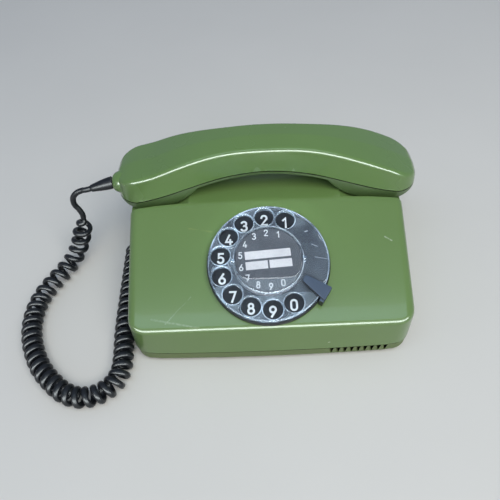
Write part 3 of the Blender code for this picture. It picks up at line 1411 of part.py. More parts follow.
# Hook lever: two pins through the wells' floors on one rocker
def make_hook(lever_material, metal):
    axle_y = HOOK_AXIS_Y
    axle_z = HOOK_AXIS_Z
    pin_top = CUP_BOTTOM_Z - LIFT_CLEARANCE
    lever = box("hook_lever", (-HOOK_X - 0.5 * HOOK_PIN_X, HOOK_Y + HOOK_PIN_Y, HOOK_ARM_Z),
                (HOOK_X + 0.5 * HOOK_PIN_X, HOOK_Y + HOOK_PIN_Y + HOOK_ARM, HOOK_ARM_Z + HOOK_ARM),
                lever_material)
    for side, word in ((-1.0, "left"), (1.0, "right")):
        pin_low = (side * HOOK_X - 0.5 * HOOK_PIN_X, HOOK_Y - 0.5 * HOOK_PIN_Y, HOOK_ARM_Z)
        pin_high = (side * HOOK_X + 0.5 * HOOK_PIN_X, HOOK_Y + 0.5 * HOOK_PIN_Y, pin_top)
        join(lever, box("hook_pin_" + word, pin_low, pin_high))
        foot_low = (pin_low[0], HOOK_Y - 0.5 * HOOK_PIN_Y, HOOK_ARM_Z)
        foot_high = (pin_high[0], HOOK_Y + HOOK_PIN_Y + 0.5 * HOOK_ARM, HOOK_ARM_Z + HOOK_ARM)
        join(lever, box("hook_foot_" + word, foot_low, foot_high))
        arm_x = side * (BRACKET_X + BRACKET_WALL + GAP)
        low_x = min(arm_x, arm_x + side * HOOK_ARM)
        high_x = max(arm_x, arm_x + side * HOOK_ARM)
        join(lever, box("hook_arm_" + word,
                        (low_x, HOOK_Y + HOOK_PIN_Y + 0.5 * HOOK_ARM, HOOK_ARM_Z),
                        (high_x, axle_y, HOOK_ARM_Z + HOOK_ARM)))
        eye = cylinder("hook_eye_" + word, HOOK_EYE_RADIUS, 0.0, HOOK_ARM, sides=16)
        eye.location = (low_x, axle_y, axle_z)
        eye.rotation_euler = (0.0, QUARTER, 0.0)
        join(lever, eye)
        riser = box("hook_riser_" + word, (low_x, axle_y - HOOK_ARM, HOOK_ARM_Z),
                    (high_x, axle_y, axle_z - 0.5 * HOOK_EYE_RADIUS))
        join(lever, riser)
    bore = cylinder("hook_bore", HOOK_SHAFT_RADIUS + GAP, -HOOK_X, HOOK_X, sides=12)
    bore.location = (0.0, axle_y, axle_z)
    bore.rotation_euler = (0.0, QUARTER, 0.0)
    cut(lever, bore)
    shaft = cylinder("hook_shaft", HOOK_SHAFT_RADIUS, -HOOK_SHAFT_HALF, HOOK_SHAFT_HALF,
                     sides=12, material=metal)
    shaft.location = (0.0, axle_y, axle_z)
    shaft.rotation_euler = (0.0, QUARTER, 0.0)
    base_z = FLOOR_Z + GAP
    for side, word in ((-1.0, "left"), (1.0, "right")):
        low_x = min(side * BRACKET_X, side * (BRACKET_X + BRACKET_WALL))
        cheek = box("hook_cheek_" + word, (low_x, axle_y, base_z),
                    (low_x + BRACKET_WALL, axle_y + BRACKET_DEPTH, axle_z + HOOK_EYE_RADIUS),
                    metal)
        ear = cylinder("cheek_ear_" + word, HOOK_EYE_RADIUS, 0.0, BRACKET_WALL, sides=16)
        ear.location = (low_x, axle_y, axle_z)
        ear.rotation_euler = (0.0, QUARTER, 0.0)
        join(cheek, ear)
        hole = cylinder("cheek_hole_" + word, HOOK_SHAFT_RADIUS + GAP, -HOOK_ARM, HOOK_ARM,
                        sides=12)
        hole.location = (low_x, axle_y, axle_z)
        hole.rotation_euler = (0.0, QUARTER, 0.0)
        cut(cheek, hole)


# Ringer: two gongs, two magnet coils on a yoke, and a clapper
def make_ringer(steel, brass, copper):
    base = box("ringer_yoke", (-RINGER_BASE_X, RINGER_BASE_FRONT_Y, FLOOR_Z + GAP),
               (RINGER_BASE_X, RINGER_BASE_BACK_Y, FLOOR_Z + GAP + RINGER_PLATE), steel)
    back = box("yoke_back", (-RINGER_BASE_X, RINGER_BASE_FRONT_Y - YOKE_WALL, FLOOR_Z + GAP),
               (RINGER_BASE_X, RINGER_BASE_FRONT_Y, MAGNET_Z + MAGNET_RADIUS))
    join(base, back)
    tongue = box("yoke_tongue", (-ARMATURE_HEIGHT, RINGER_BASE_BACK_Y - YOKE_WALL, FLOOR_Z + GAP),
                 (ARMATURE_HEIGHT, CLAPPER_PIVOT_Y + ARMATURE_THICKNESS + YOKE_WALL,
                  FLOOR_Z + GAP + RINGER_PLATE))
    join(base, tongue)
    pivot = cylinder("yoke_pivot", PIVOT_RADIUS, FLOOR_Z + GAP, MAGNET_Z + ARMATURE_HEIGHT,
                     (0.0, CLAPPER_PIVOT_Y), 10)
    join(base, pivot)
    for side, word in ((-1.0, "left"), (1.0, "right")):
        low_y = RINGER_BASE_FRONT_Y + GAP
        coil = cylinder("ringer_coil_" + word, MAGNET_RADIUS, 0.0, MAGNET_LENGTH, sides=20,
                        material=copper)
        coil.location = (side * MAGNET_X, low_y + MAGNET_LENGTH, MAGNET_Z)
        coil.rotation_euler = (QUARTER, 0.0, 0.0)
        dome = [
            (GONG_WALL + POST_RADIUS * 0.4, GONG_Z + GONG_HEIGHT),
            (0.55 * GONG_RADIUS, GONG_Z + 0.9 * GONG_HEIGHT),
            (0.85 * GONG_RADIUS, GONG_Z + 0.58 * GONG_HEIGHT),
            (GONG_RADIUS, GONG_Z),
            (GONG_RADIUS - GONG_WALL, GONG_Z),
            (0.85 * GONG_RADIUS - GONG_WALL, GONG_Z + 0.58 * GONG_HEIGHT - GONG_WALL),
            (0.55 * GONG_RADIUS, GONG_Z + 0.9 * GONG_HEIGHT - GONG_WALL),
            (GONG_WALL + POST_RADIUS * 0.4, GONG_Z + GONG_HEIGHT - GONG_WALL),
        ]
        gong = smooth(turned("gong_" + word, dome, 16, brass, closed=True))
        gong.location = (side * GONG_X, GONG_Y, 0.0)
        neck = GONG_WALL + POST_RADIUS * 0.4 - GAP
        shoulder = GONG_Z + GONG_HEIGHT - GONG_WALL - GAP
        post = smooth(turned("gong_post_" + word, [
            (0.0, GONG_Z + GONG_HEIGHT + GONG_WALL + GAP),
            (POST_RADIUS, GONG_Z + GONG_HEIGHT + GONG_WALL),
            (POST_RADIUS, GONG_Z + GONG_HEIGHT + GAP),
            (neck, GONG_Z + GONG_HEIGHT + GAP),
            (neck, shoulder),
            (POST_RADIUS, shoulder),
            (POST_RADIUS, FLOOR_Z + GAP),
            (0.0, FLOOR_Z + GAP),
        ], 10, steel))
        post.location = (side * GONG_X, GONG_Y, 0.0)
    clapper = box("clapper", (-ARMATURE_HALF, -0.5 * ARMATURE_THICKNESS, -0.5 * ARMATURE_HEIGHT),
                  (ARMATURE_HALF, 0.5 * ARMATURE_THICKNESS, 0.5 * ARMATURE_HEIGHT), steel)
    clapper.location = (0.0, CLAPPER_PIVOT_Y, MAGNET_Z)
    hub = cylinder("clapper_hub", PIVOT_RADIUS + GAP + GONG_WALL, -0.5 * ARMATURE_HEIGHT,
                   0.5 * ARMATURE_HEIGHT, sides=14)
    hub.location = clapper.location
    join(clapper, hub)
    rod = cylinder("clapper_rod", CLAPPER_ROD_RADIUS, 0.0, CLAPPER_REACH, sides=8)
    rod.location = (0.0, CLAPPER_PIVOT_Y + PIVOT_RADIUS + 2.0 * GAP, MAGNET_Z)
    rod.rotation_euler = (-QUARTER, 0.0, 0.0)
    join(clapper, rod)
    ball = cylinder("clapper_ball", CLAPPER_BALL_RADIUS, -CLAPPER_BALL_RADIUS,
                    CLAPPER_BALL_RADIUS, sides=12)
    ball.location = (0.0, CLAPPER_PIVOT_Y + CLAPPER_REACH, MAGNET_Z)
    join(clapper, ball)
    pin_room = cylinder("clapper_bore", PIVOT_RADIUS + GAP, -ARMATURE_HEIGHT,
                        ARMATURE_HEIGHT, sides=12)
    pin_room.location = clapper.location
    cut(clapper, pin_room)


def make_electrics(board_material, iron, copper, plastic):
    box("circuit_board", (BOARD_LEFT_X, BOARD_FRONT_Y, BOARD_Z),
        (BOARD_RIGHT_X, BOARD_BACK_Y, BOARD_Z + BOARD_THICKNESS), board_material)
    stand_height = BOARD_Z - GAP
    for index, (x, y) in enumerate(((BOARD_LEFT_X, BOARD_FRONT_Y), (BOARD_RIGHT_X, BOARD_BACK_Y))):
        inward_x = x + (POST_RADIUS if x == BOARD_LEFT_X else -POST_RADIUS)
        inward_y = y + (POST_RADIUS if y == BOARD_FRONT_Y else -POST_RADIUS)
        cylinder("board_post_%d" % (index + 1), POST_RADIUS, FLOOR_Z + GAP, stand_height,
                 (inward_x, inward_y), 12, plastic)
    top = BOARD_Z + BOARD_THICKNESS + GAP
    middle_y = 0.5 * (BOARD_FRONT_Y + BOARD_BACK_Y)
    core = box("speech_coil", (COIL_CORE_PLACE_X - 0.5 * COIL_CORE_X, middle_y - 0.5 * COIL_CORE_Y,
                               top),
               (COIL_CORE_PLACE_X + 0.5 * COIL_CORE_X, middle_y + 0.5 * COIL_CORE_Y,
                top + COIL_CORE_Z), iron)
    round_edges(core, 2.0 * GAP, 1)
    can = cylinder("capacitor", CAPACITOR_RADIUS, 0.0, CAPACITOR_LENGTH, sides=16, material=copper)
    can.location = (BOARD_LEFT_X + 2.0 * CAPACITOR_RADIUS, middle_y + 0.5 * CAPACITOR_LENGTH,
                    top + CAPACITOR_RADIUS)
    can.rotation_euler = (QUARTER, 0.0, 0.0)
    knob_high = TRAY_UNDERSIDE_Z - GAP
    catch = FLOOR_Z + GAP
    knob = smooth(turned("volume_knob", [
        (0.0, KNOB_STEM_TOP),
        (KNOB_FLANGE_RADIUS, KNOB_STEM_TOP),
        (KNOB_FLANGE_RADIUS, catch),
        (KNOB_STEM_RADIUS, catch),
        (KNOB_STEM_RADIUS, knob_high),
        (KNOB_RADIUS, knob_high),
        (KNOB_RADIUS, knob_high - KNOB_HEIGHT),
        (0.0, knob_high - KNOB_HEIGHT),
    ], 16, plastic))
    knob.location = (KNOB_X, KNOB_Y, 0.0)


def make_pulse_contacts(axis, material, cam_mean):
    """Three leaf springs in an insulated block, beside the pulse cam."""
    reach_x, reach_y = PULSE_PLACE
    outward = math.atan2(reach_y, reach_x)
    leaf = 0.5 * SPRING_STRIP + GAP
    near = CAM_RADIUS + GAP
    length = 1.2 * CAM_RADIUS
    block = 0.6 * CAM_RADIUS
    comb = [(-near - 10.0 * leaf, -length), (-near - 10.0 * leaf, -length - block),
            (-near, -length - block), (-near, length * 0.5)]
    for index in range(2):
        edge = -near - leaf - index * 4.0 * leaf
        comb += [(edge, length * 0.5), (edge, -length + leaf), (edge - 3.0 * leaf, -length + leaf),
                 (edge - 3.0 * leaf, length * 0.5)]
    last = -near - 10.0 * leaf
    comb += [(last, length * 0.5)]
    turn = Matrix.Translation((reach_x, reach_y, cam_mean))
    turn = turn @ Matrix.Rotation(outward + QUARTER, 4, "Z")
    stack = outline("pulse_contacts", [comb], 2.0 * CAM_THICKNESS, material, axis, turn)
    stack.matrix_world = axis_matrix()
    foot = turn @ Vector((-near - 5.0 * leaf, -length - 0.5 * block, 0.0))
    join(stack, cylinder("contact_foot", 0.45 * block, cam_mean, TOP_PLATE_LOW - GAP,
                         (foot.x, foot.y), 8, parent=axis))


def make_all():
    green = (0.115, 0.19, 0.055)
    black = (0.012, 0.012, 0.014)
    shell_green = finish("case green plastic", green, 0.3)
    tray_green = finish("tray green plastic", (0.1, 0.165, 0.05), 0.35)
    handset_green = finish("handset green plastic", green, 0.28)
    lower_green = finish("handset underside green", (0.11, 0.18, 0.053), 0.32)
    rubber = finish("foot rubber", (0.03, 0.03, 0.03), 0.8)
    steel = finish("zinc plated steel", (0.5, 0.5, 0.48), 0.35, 1.0)
    brass = finish("gong steel", (0.62, 0.58, 0.46), 0.3, 1.0)
    copper = finish("coil winding tape", (0.45, 0.2, 0.07), 0.5)
    iron = finish("laminated core", (0.16, 0.15, 0.15), 0.5, 0.6)
    phenolic = finish("brown phenolic board", (0.25, 0.13, 0.05), 0.6)
    plastic = finish("ivory inner plastic", (0.6, 0.57, 0.48), 0.5)
    plate_black = finish("number plate black", black, 0.35)
    clear = finish("clear acrylic", (0.85, 0.87, 0.88), 0.08, 0.0, 0.9)
    card = finish("number card black", (0.03, 0.03, 0.035), 0.5)
    stop_grey = finish("finger stop grey", (0.05, 0.055, 0.06), 0.4)
    bronze = finish("spring bronze", (0.5, 0.33, 0.14), 0.35, 1.0)
    capsule_grey = finish("capsule aluminium", (0.55, 0.56, 0.57), 0.4, 1.0)
    cord_black = finish("cord black vinyl", (0.01, 0.01, 0.012), 0.35)

    make_top_shell(shell_green)
    make_tray(tray_green)
    make_screws(steel)
    make_feet(rubber)
    axis = dial_empty()
    make_number_plate(axis, plate_black)
    make_finger_wheel(axis, clear)
    make_dial_centre(axis, plate_black, card, clear)
    make_dial_shaft(axis, steel)
    make_finger_stop(axis, stop_grey)
    make_dial_frame(axis, steel)
    gear("main_gear", MAIN_TEETH, PULSE_ANGLE, MAIN_GEAR_MEAN, GEAR_THICKNESS,
         SHAFT_RADIUS, brass, axis)
    cam_mean = make_pulse_wheel(axis, brass)
    make_governor(axis, brass, steel)
    make_return_spring(axis, bronze)
    make_pulse_contacts(axis, bronze, cam_mean)
    make_handset_shells(handset_green, lower_green)
    make_capsules(capsule_grey)
    make_cord(cord_black, cord_black)
    make_hook(plastic, steel)
    make_ringer(steel, brass, copper)
    make_electrics(phenolic, iron, copper, plastic)


make_all()
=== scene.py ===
import math

import bmesh
import bpy
from mathutils import Matrix, Vector


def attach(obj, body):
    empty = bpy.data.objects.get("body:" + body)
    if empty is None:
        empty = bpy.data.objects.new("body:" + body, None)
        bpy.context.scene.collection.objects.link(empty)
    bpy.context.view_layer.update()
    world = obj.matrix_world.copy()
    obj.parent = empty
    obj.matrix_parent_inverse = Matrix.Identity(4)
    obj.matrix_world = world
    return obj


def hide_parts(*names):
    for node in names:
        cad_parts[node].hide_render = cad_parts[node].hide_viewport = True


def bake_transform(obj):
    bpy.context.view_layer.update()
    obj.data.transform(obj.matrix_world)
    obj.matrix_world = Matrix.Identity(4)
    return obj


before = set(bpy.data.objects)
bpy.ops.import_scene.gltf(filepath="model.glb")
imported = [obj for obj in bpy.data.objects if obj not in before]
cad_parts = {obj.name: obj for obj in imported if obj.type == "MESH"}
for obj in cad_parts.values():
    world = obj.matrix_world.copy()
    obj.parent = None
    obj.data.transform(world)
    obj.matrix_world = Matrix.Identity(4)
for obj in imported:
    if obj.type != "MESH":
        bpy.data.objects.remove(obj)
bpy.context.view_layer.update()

scene = bpy.context.scene
scene.view_settings.view_transform = "Standard"


# Camera: a wide lens held above and in front of the telephone, tilted a little to
# its left.
CAMERA_PLACE = (-0.0055, -0.2599, 0.3329)
lens = bpy.data.cameras.new("camera")
lens.sensor_width = 36.0
lens.lens = 39.6
camera = bpy.data.objects.new("camera", lens)
scene.collection.objects.link(camera)
pitch, yaw, roll = math.radians(50.0), math.radians(-1.5), math.radians(-3.6)
ahead = Vector((math.sin(yaw) * math.cos(pitch), math.cos(yaw) * math.cos(pitch),
                -math.sin(pitch)))
level = Vector((math.cos(yaw), -math.sin(yaw), 0.0))
above = level.cross(ahead)
across = math.cos(roll) * level + math.sin(roll) * above
above = math.cos(roll) * above - math.sin(roll) * level
camera.matrix_world = Matrix.Translation(CAMERA_PLACE) @ Matrix(
    (across, above, -ahead)).transposed().to_4x4()
scene.camera = camera


# Curly cord: one black vinyl wire, wound on a rod and heat-set into 48 curls. It hangs
# from the handset's left end, lies in a loop beside the case and goes into its back.
TURN = 2.0 * math.pi
WIRE_ACROSS, WIRE_ALONG, WIRE_SIDES = 0.0018, 0.0021, 12
CURLS, CURL_RADIUS, CURL_STEPS = 48, 0.0053, 26
PULLED_CURLS, PULLED_PITCH, PITCH_EASE = 6.0, 0.0084, 0.0021
LEAD_IN, LEAD_OUT, LEAD_STEP, LEAD_GAP = 0.034, 0.003, 0.0018, 0.0015
ROUTE_STEP, CORD_EXIT_RUN = 0.0009, 0.0039
CORD_END = (-0.062, 0.0806, 0.0092)
CORD_ROUTE = [
    (-0.1268, 0.0202, 0.0712), (-0.1318, 0.0200, 0.0688),
    (-0.1352, 0.0200, 0.0640), (-0.1358, 0.0199, 0.0580), (-0.1338, 0.0197, 0.0530),
    (-0.1326, 0.0192, 0.0470), (-0.1348, 0.0184, 0.0385), (-0.1378, 0.0170, 0.0295),
    (-0.1412, 0.0146, 0.0212), (-0.1452, 0.0106, 0.0147), (-0.1498, 0.0052, 0.0103),
    (-0.1548, -0.0016, 0.0083), (-0.1598, -0.0098, 0.0078), (-0.1645, -0.0194, 0.0077),
    (-0.1672, -0.0290, 0.0077), (-0.1682, -0.0400, 0.0077), (-0.1668, -0.0530, 0.0077),
    (-0.1622, -0.0670, 0.0077), (-0.1545, -0.0810, 0.0077), (-0.1450, -0.0918, 0.0077),
    (-0.1345, -0.1003, 0.0077), (-0.1235, -0.1040, 0.0077), (-0.1125, -0.1020, 0.0077),
    (-0.1040, -0.0958, 0.0077), (-0.0998, -0.0862, 0.0077), (-0.0996, -0.0745, 0.0077),
    (-0.1008, -0.0600, 0.0077), (-0.1014, -0.0440, 0.0077), (-0.1016, -0.0260, 0.0077),
    (-0.1018, -0.0080, 0.0077), (-0.1020, 0.0100, 0.0077), (-0.1022, 0.0260, 0.0073),
    (-0.1026, 0.0420, 0.0040), (-0.1028, 0.0590, 0.0025), (-0.1005, 0.0760, 0.0025),
    (-0.0920, 0.0900, 0.0030), (-0.0800, 0.0975, 0.0050), (-0.0690, 0.0960, 0.0076),
    (-0.0630, 0.0900, 0.0090),
]
relief_way = Vector((-0.97, -0.15, -0.17)).normalized()
relief_root = Vector((-0.1040, 0.0225, 0.075603))
RELIEF_LENGTH = 0.0165


def within(value):
    """The value, kept between nought and one."""
    return min(max(value, 0.0), 1.0)


def eased(share):
    """Soft rise from nought to one."""
    return share * share * (3.0 - 2.0 * share)


def smooth_line(knots, spacing, fine_steps=24):
    """Evenly spaced points on a Catmull-Rom curve through the knots, and their true spacing."""
    knots = [2.0 * knots[0] - knots[1]] + knots + [2.0 * knots[-1] - knots[-2]]
    fine = []
    for a, b, c, d in zip(knots, knots[1:], knots[2:], knots[3:]):
        for index in range(fine_steps):
            t = index / fine_steps
            fine.append(0.5 * (2.0 * b + (c - a) * t + (2.0 * a - 5.0 * b + 4.0 * c - d) * t ** 2
                               + (3.0 * b - a - 3.0 * c + d) * t ** 3))
    fine.append(knots[-2])
    travelled = [0.0]
    for first, second in zip(fine, fine[1:]):
        travelled.append(travelled[-1] + (second - first).length)
    count = int(round(travelled[-1] / spacing))
    even, cursor = [], 0
    for index in range(count + 1):
        target = travelled[-1] * index / count
        while cursor < len(travelled) - 2 and travelled[cursor + 1] < target:
            cursor += 1
        span = max(travelled[cursor + 1] - travelled[cursor], 1e-12)
        even.append(fine[cursor].lerp(fine[cursor + 1], (target - travelled[cursor]) / span))
    return even, travelled[-1] / count


def wire_points():
    """Middle line of the wire, with the direction away from the curls' axis at each point."""
    start = relief_root + relief_way * (RELIEF_LENGTH + 0.0003)
    end = Vector(CORD_END)
    knots = [start + relief_way * CORD_EXIT_RUN] + [Vector(point) for point in CORD_ROUTE]
    knots.append(end + Vector((0.0, CORD_EXIT_RUN, 0.0)))
    line, step = smooth_line(knots, ROUTE_STEP)
    frames = []
    outward = Vector((0.0, 1.0, 0.0))
    for index in range(len(line)):
        along = (line[min(index + 1, len(line) - 1)] - line[max(index - 1, 0)]).normalized()
        outward = (outward - along * outward.dot(along)).normalized()
        frames.append((outward.copy(), along.cross(outward)))
    points = [(start, frames[0][0]), (start.lerp(line[0], 0.5), frames[0][0])]
    place = 0.0
    while place < LEAD_IN - LEAD_GAP:
        index = int(round(place / step))
        points.append((line[index], frames[index][0]))
        place += LEAD_STEP
    place = LEAD_IN
    for index in range(CURLS * CURL_STEPS + 1):
        curl = index / CURL_STEPS
        slot = min(place / step, len(line) - 1.001)
        low = int(slot)
        centre = line[low].lerp(line[low + 1], slot - low)
        out, up = frames[low]
        relaxed = within((curl - PULLED_CURLS) / PULLED_CURLS)
        place += (PULLED_PITCH - PITCH_EASE * relaxed) / CURL_STEPS
        radius = CURL_RADIUS * eased(within(0.8 * min(curl, CURLS - curl)))
        direction = out * math.cos(TURN * curl) + up * math.sin(TURN * curl)
        points.append((centre + direction * radius, direction))
    place += LEAD_OUT
    while place < step * (len(line) - 1) - LEAD_GAP:
        index = int(round(place / step))
        points.append((line[index], frames[index][0]))
        place += LEAD_STEP
    points.append((line[-1], frames[-1][0]))
    points.append((line[-1].lerp(end, 0.5), frames[-1][0]))
    points.append((end, frames[-1][0]))
    return points


def as_piece(name, work, matrix=None):
    """Object from a bmesh, with smooth shading split at its sharp edges."""
    bmesh.ops.recalc_face_normals(work, faces=work.faces)
    if matrix:
        bmesh.ops.transform(work, matrix=matrix, verts=work.verts)
    mesh = bpy.data.meshes.new(name)
    work.to_mesh(mesh)
    work.free()
    mesh.shade_smooth()
    mesh.set_sharp_from_angle(angle=math.radians(35.0))
    item = bpy.data.objects.new(name, mesh)
    scene.collection.objects.link(item)
    return item


def lofted(name, rings, matrix=None):
    """Closed solid through rings that all have the same number of points."""
    work = bmesh.new()
    rows = [[work.verts.new(point) for point in ring] for ring in rings]
    count = len(rings[0])
    for row, following in zip(rows, rows[1:]):
        for index in range(count):
            after = (index + 1) % count
            work.faces.new((row[index], row[after], following[after], following[index]))
    work.faces.new(rows[0])
    work.faces.new(rows[-1])
    return as_piece(name, work, matrix)


def wire_rings(points):
    """Slightly oval rings round the wire's middle line."""
    rings = []
    for index, (point, outward) in enumerate(points):
        along = (points[min(index + 1, len(points) - 1)][0]
                 - points[max(index - 1, 0)][0]).normalized()
        wide = (outward - along * outward.dot(along)).normalized()
        side = along.cross(wide)
        angles = [TURN * k / WIRE_SIDES for k in range(WIRE_SIDES)]
        rings.append([point + wide * (WIRE_ACROSS * math.cos(angle))
                      + side * (WIRE_ALONG * math.sin(angle)) for angle in angles])
    return rings


wire = wire_points()
cord = lofted("curly_cord", wire_rings(wire))


def add(tree, kind, inputs=None, **settings):
    """Shader node, its settings and its inputs: a value, or a socket that is linked."""
    item = tree.nodes.new("ShaderNode" + kind)
    for name, value in settings.items():
        setattr(item, name, value)
    for key, value in (inputs or {}).items():
        if isinstance(value, bpy.types.NodeSocket):
            tree.links.new(value, item.inputs[key])
        else:
            item.inputs[key].default_value = value
    return item


def noise(tree, place, scale, detail=2.0, roughness=0.5):
    return add(tree, "TexNoise", {"Vector": place, "Scale": scale, "Detail": detail,
                                  "Roughness": roughness}).outputs[0]


def remap(tree, value, low, high, to_low, to_high):
    return add(tree, "MapRange", {"Value": value, "From Min": low, "From Max": high,
                                  "To Min": to_low, "To Max": to_high}).outputs["Result"]


def tint(tree, factor, first, second):
    return add(tree, "Mix", {0: factor, 6: first, 7: second}, data_type="RGBA").outputs[2]


def shade(colour, factor):
    return (colour[0] * factor, colour[1] * factor, colour[2] * factor, 1.0)


DUST_COLOUR, DUST_GRAIN = (0.62, 0.62, 0.58, 1.0), 1500.0


def surface(name, colour, roughness, metallic=0.0, drift=0.12, patch=60.0, grain=1800.0,
            relief=0.04, coat=0.0, stretch=None, dust=0.0, shine=0.5):
    """Solid finish whose tone drifts in patches, with fine grain, uneven gloss and dust."""
    material = bpy.data.materials.new(name)
    material.use_nodes = True
    tree = material.node_tree
    shader = tree.nodes["Principled BSDF"]
    place = add(tree, "TexCoord").outputs["Object"]
    if stretch:
        place = add(tree, "Mapping", {"Vector": place, "Scale": stretch}).outputs["Vector"]
    broad = noise(tree, place, patch, 3.0)
    fine = noise(tree, place, grain, 2.0)
    base = tint(tree, remap(tree, broad, 0.3, 0.7, 0.0, 1.0),
                shade(colour, 1.0 - drift), shade(colour, 1.0 + drift))
    if dust:
        specks = remap(tree, noise(tree, place, DUST_GRAIN, 2.0, 0.6), 0.68, 0.76, 0.0, dust)
        base = tint(tree, specks, base, DUST_COLOUR)
    tree.links.new(base, shader.inputs["Base Color"])
    gloss = remap(tree, noise(tree, place, 2.5 * patch, 2.0), 0.25, 0.75,
                  roughness * 0.92, min(roughness * 1.1, 1.0))
    tree.links.new(gloss, shader.inputs["Roughness"])
    shader.inputs["Metallic"].default_value = metallic
    shader.inputs["Specular IOR Level"].default_value = shine
    shader.inputs["Coat Weight"].default_value = coat
    shader.inputs["Coat Roughness"].default_value = 0.04
    bump = add(tree, "Bump", {"Height": fine, "Strength": relief, "Distance": 0.0004})
    tree.links.new(bump.outputs["Normal"], shader.inputs["Normal"])
    return material


black_vinyl = surface("black vinyl", (0.006, 0.0075, 0.011), 0.36, drift=0.2, patch=160.0,
                      grain=2400.0, relief=0.03, dust=0.04, shine=0.42)
cord.data.materials.append(black_vinyl)
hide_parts("handset_cord")


# Strain relief and glands: black vinyl mouldings on the cord. The relief plugs into the
# handset's collar, and each gland snaps into a notch in the back wall of the tray.
def dress(material, *names):
    """Gives CAD nodes that keep their own shape their finish."""
    for name in names:
        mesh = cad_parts[name].data
        mesh.materials.clear()
        mesh.materials.append(material)


def turned(name, profile, steps, matrix=None, closed=False):
    """Profile of radius and height, turned about Z, then placed by the matrix."""
    work = bmesh.new()
    rows = []
    for radius, height in profile:
        if radius == 0.0:
            rows.append([work.verts.new((0.0, 0.0, height))])
        else:
            rows.append([work.verts.new((radius * math.cos(TURN * k / steps),
                                         radius * math.sin(TURN * k / steps), height))
                         for k in range(steps)])
    if closed:
        rows.append(rows[0])
    for row, following in zip(rows, rows[1:]):
        for k in range(steps):
            ring = [row[k % len(row)], row[(k + 1) % len(row)],
                    following[(k + 1) % len(following)], following[k % len(following)]]
            corners = []
            for corner in ring:
                if corner not in corners:
                    corners.append(corner)
            work.faces.new(corners)
    return as_piece(name, work, matrix)


relief_stand = Matrix.Translation(relief_root) @ relief_way.to_track_quat("Z", "Y").to_matrix(
).to_4x4()
relief = turned("cord_relief", [
    (0.0, RELIEF_LENGTH), (0.0022, RELIEF_LENGTH), (0.00255, RELIEF_LENGTH - 0.0004),
    (0.0030, 0.0132), (0.0034, 0.0110), (0.0038, 0.0084), (0.0041, 0.0058), (0.0043, 0.0034),
    (0.0043, 0.0014), (0.0043, 0.0007), (0.0, 0.0007)], 36, relief_stand)
relief.data.materials.append(black_vinyl)
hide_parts("handset_cord_relief")
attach(relief, "handset")
dress(black_vinyl, "handset_cord_gland", "line_cord_inlet")
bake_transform(cord)


# Top shell: injection-moulded cover in glossy olive green, with the sloping face, the
# deck, the two wells for the handset's ends and four screw bosses inside.
QUARTER = 0.5 * math.pi
SLOPE = math.radians(19.6)
FRONT_Z, CREASE_Y, CREST_Y, HALF_DEPTH = 0.0371, 0.0066, 0.058, 0.0785
DECK_Z = FRONT_Z + (CREASE_Y + HALF_DEPTH) * math.tan(SLOPE)
WELL_Z = DECK_Z - 0.0079
SHOULDER_Z = WELL_Z - 0.0075
SEAM_Z, WALL, BOW, CORNER = 0.0127, 0.0025, 0.002, 0.012
HALF_WIDTH, FLARE, CROWN, ROLL_RUN, ROLL_DROP = 0.0933, 0.02, 0.0013, 0.009, 0.00036
SIDE_ROUND, FRONT_ROUND = 0.006, 0.0045
REAR_FALL = (DECK_Z - SHOULDER_Z) / (HALF_DEPTH - CREST_Y)


def fillet(corners, radii, steps):
    """Open line with its inner corners rounded, always in the same number of points."""
    line = [Vector(corners[0])]
    for before, corner, after, radius, count in zip(
            corners, corners[1:], corners[2:], radii, steps):
        before, corner, after = Vector(before), Vector(corner), Vector(after)
        back, forward = before - corner, after - corner
        half = 0.5 * back.angle(forward)
        shorter = min(back.length, forward.length)
        reach = min(max(radius / math.tan(half), 0.05 * shorter), 0.49 * shorter)
        start = corner + back.normalized() * reach
        end = corner + forward.normalized() * reach
        middle = 0.5 * (start + end)
        centre = corner + (middle - corner).normalized() * (reach / math.cos(half))
        sweep = QUARTER - half
        tangent = (end - start).normalized()
        inward = (corner - middle).normalized()
        round_radius = reach * math.tan(half)
        for index in range(count + 1):
            turn = sweep * (2.0 * index / count - 1.0)
            line.append(centre + tangent * (round_radius * math.sin(turn))
                        + inward * (round_radius * math.cos(turn)))
    line.append(Vector(corners[-1]))
    return line


def quarter_inset(distance, radius):
    """How far a rounded corner has drawn in at a distance from its end, if it has one."""
    if distance is None or radius <= 0.0 or distance >= radius:
        return 0.0
    return radius - math.sqrt(max(radius ** 2 - (radius - distance) ** 2, 0.0))


def stations(inset):
    """Sections from side to side: a share of the half width, or a distance from the end."""
    radius = CORNER - inset
    steps = [radius * (1.0 - math.sin(QUARTER * k / 14)) for k in range(15)]
    middle = [(k / 9.0 * 0.82, None) for k in range(-9, 10)]
    return [(-1.0, d) for d in reversed(steps)] + middle + [(1.0, d) for d in steps]


def crown_drop(x):
    """How far the crowned deck has fallen towards the sides."""
    return CROWN * (x / HALF_WIDTH) ** 2


def station_x(side, distance, y, inset):
    """Place of a section across the case, which flares a little towards the back."""
    reach = HALF_WIDTH + FLARE * (y - CREASE_Y) - inset
    return side * reach if distance is None else side * (reach - distance)


def front_y(side, distance, inset, height_share):
    """Front face, bowed at its foot and straight along its top."""
    bow = BOW * (side ** 2 if distance is None else 1.0)
    draw = quarter_inset(distance, CORNER - inset)
    return -HALF_DEPTH + bow + (BOW - bow) * height_share + inset + draw


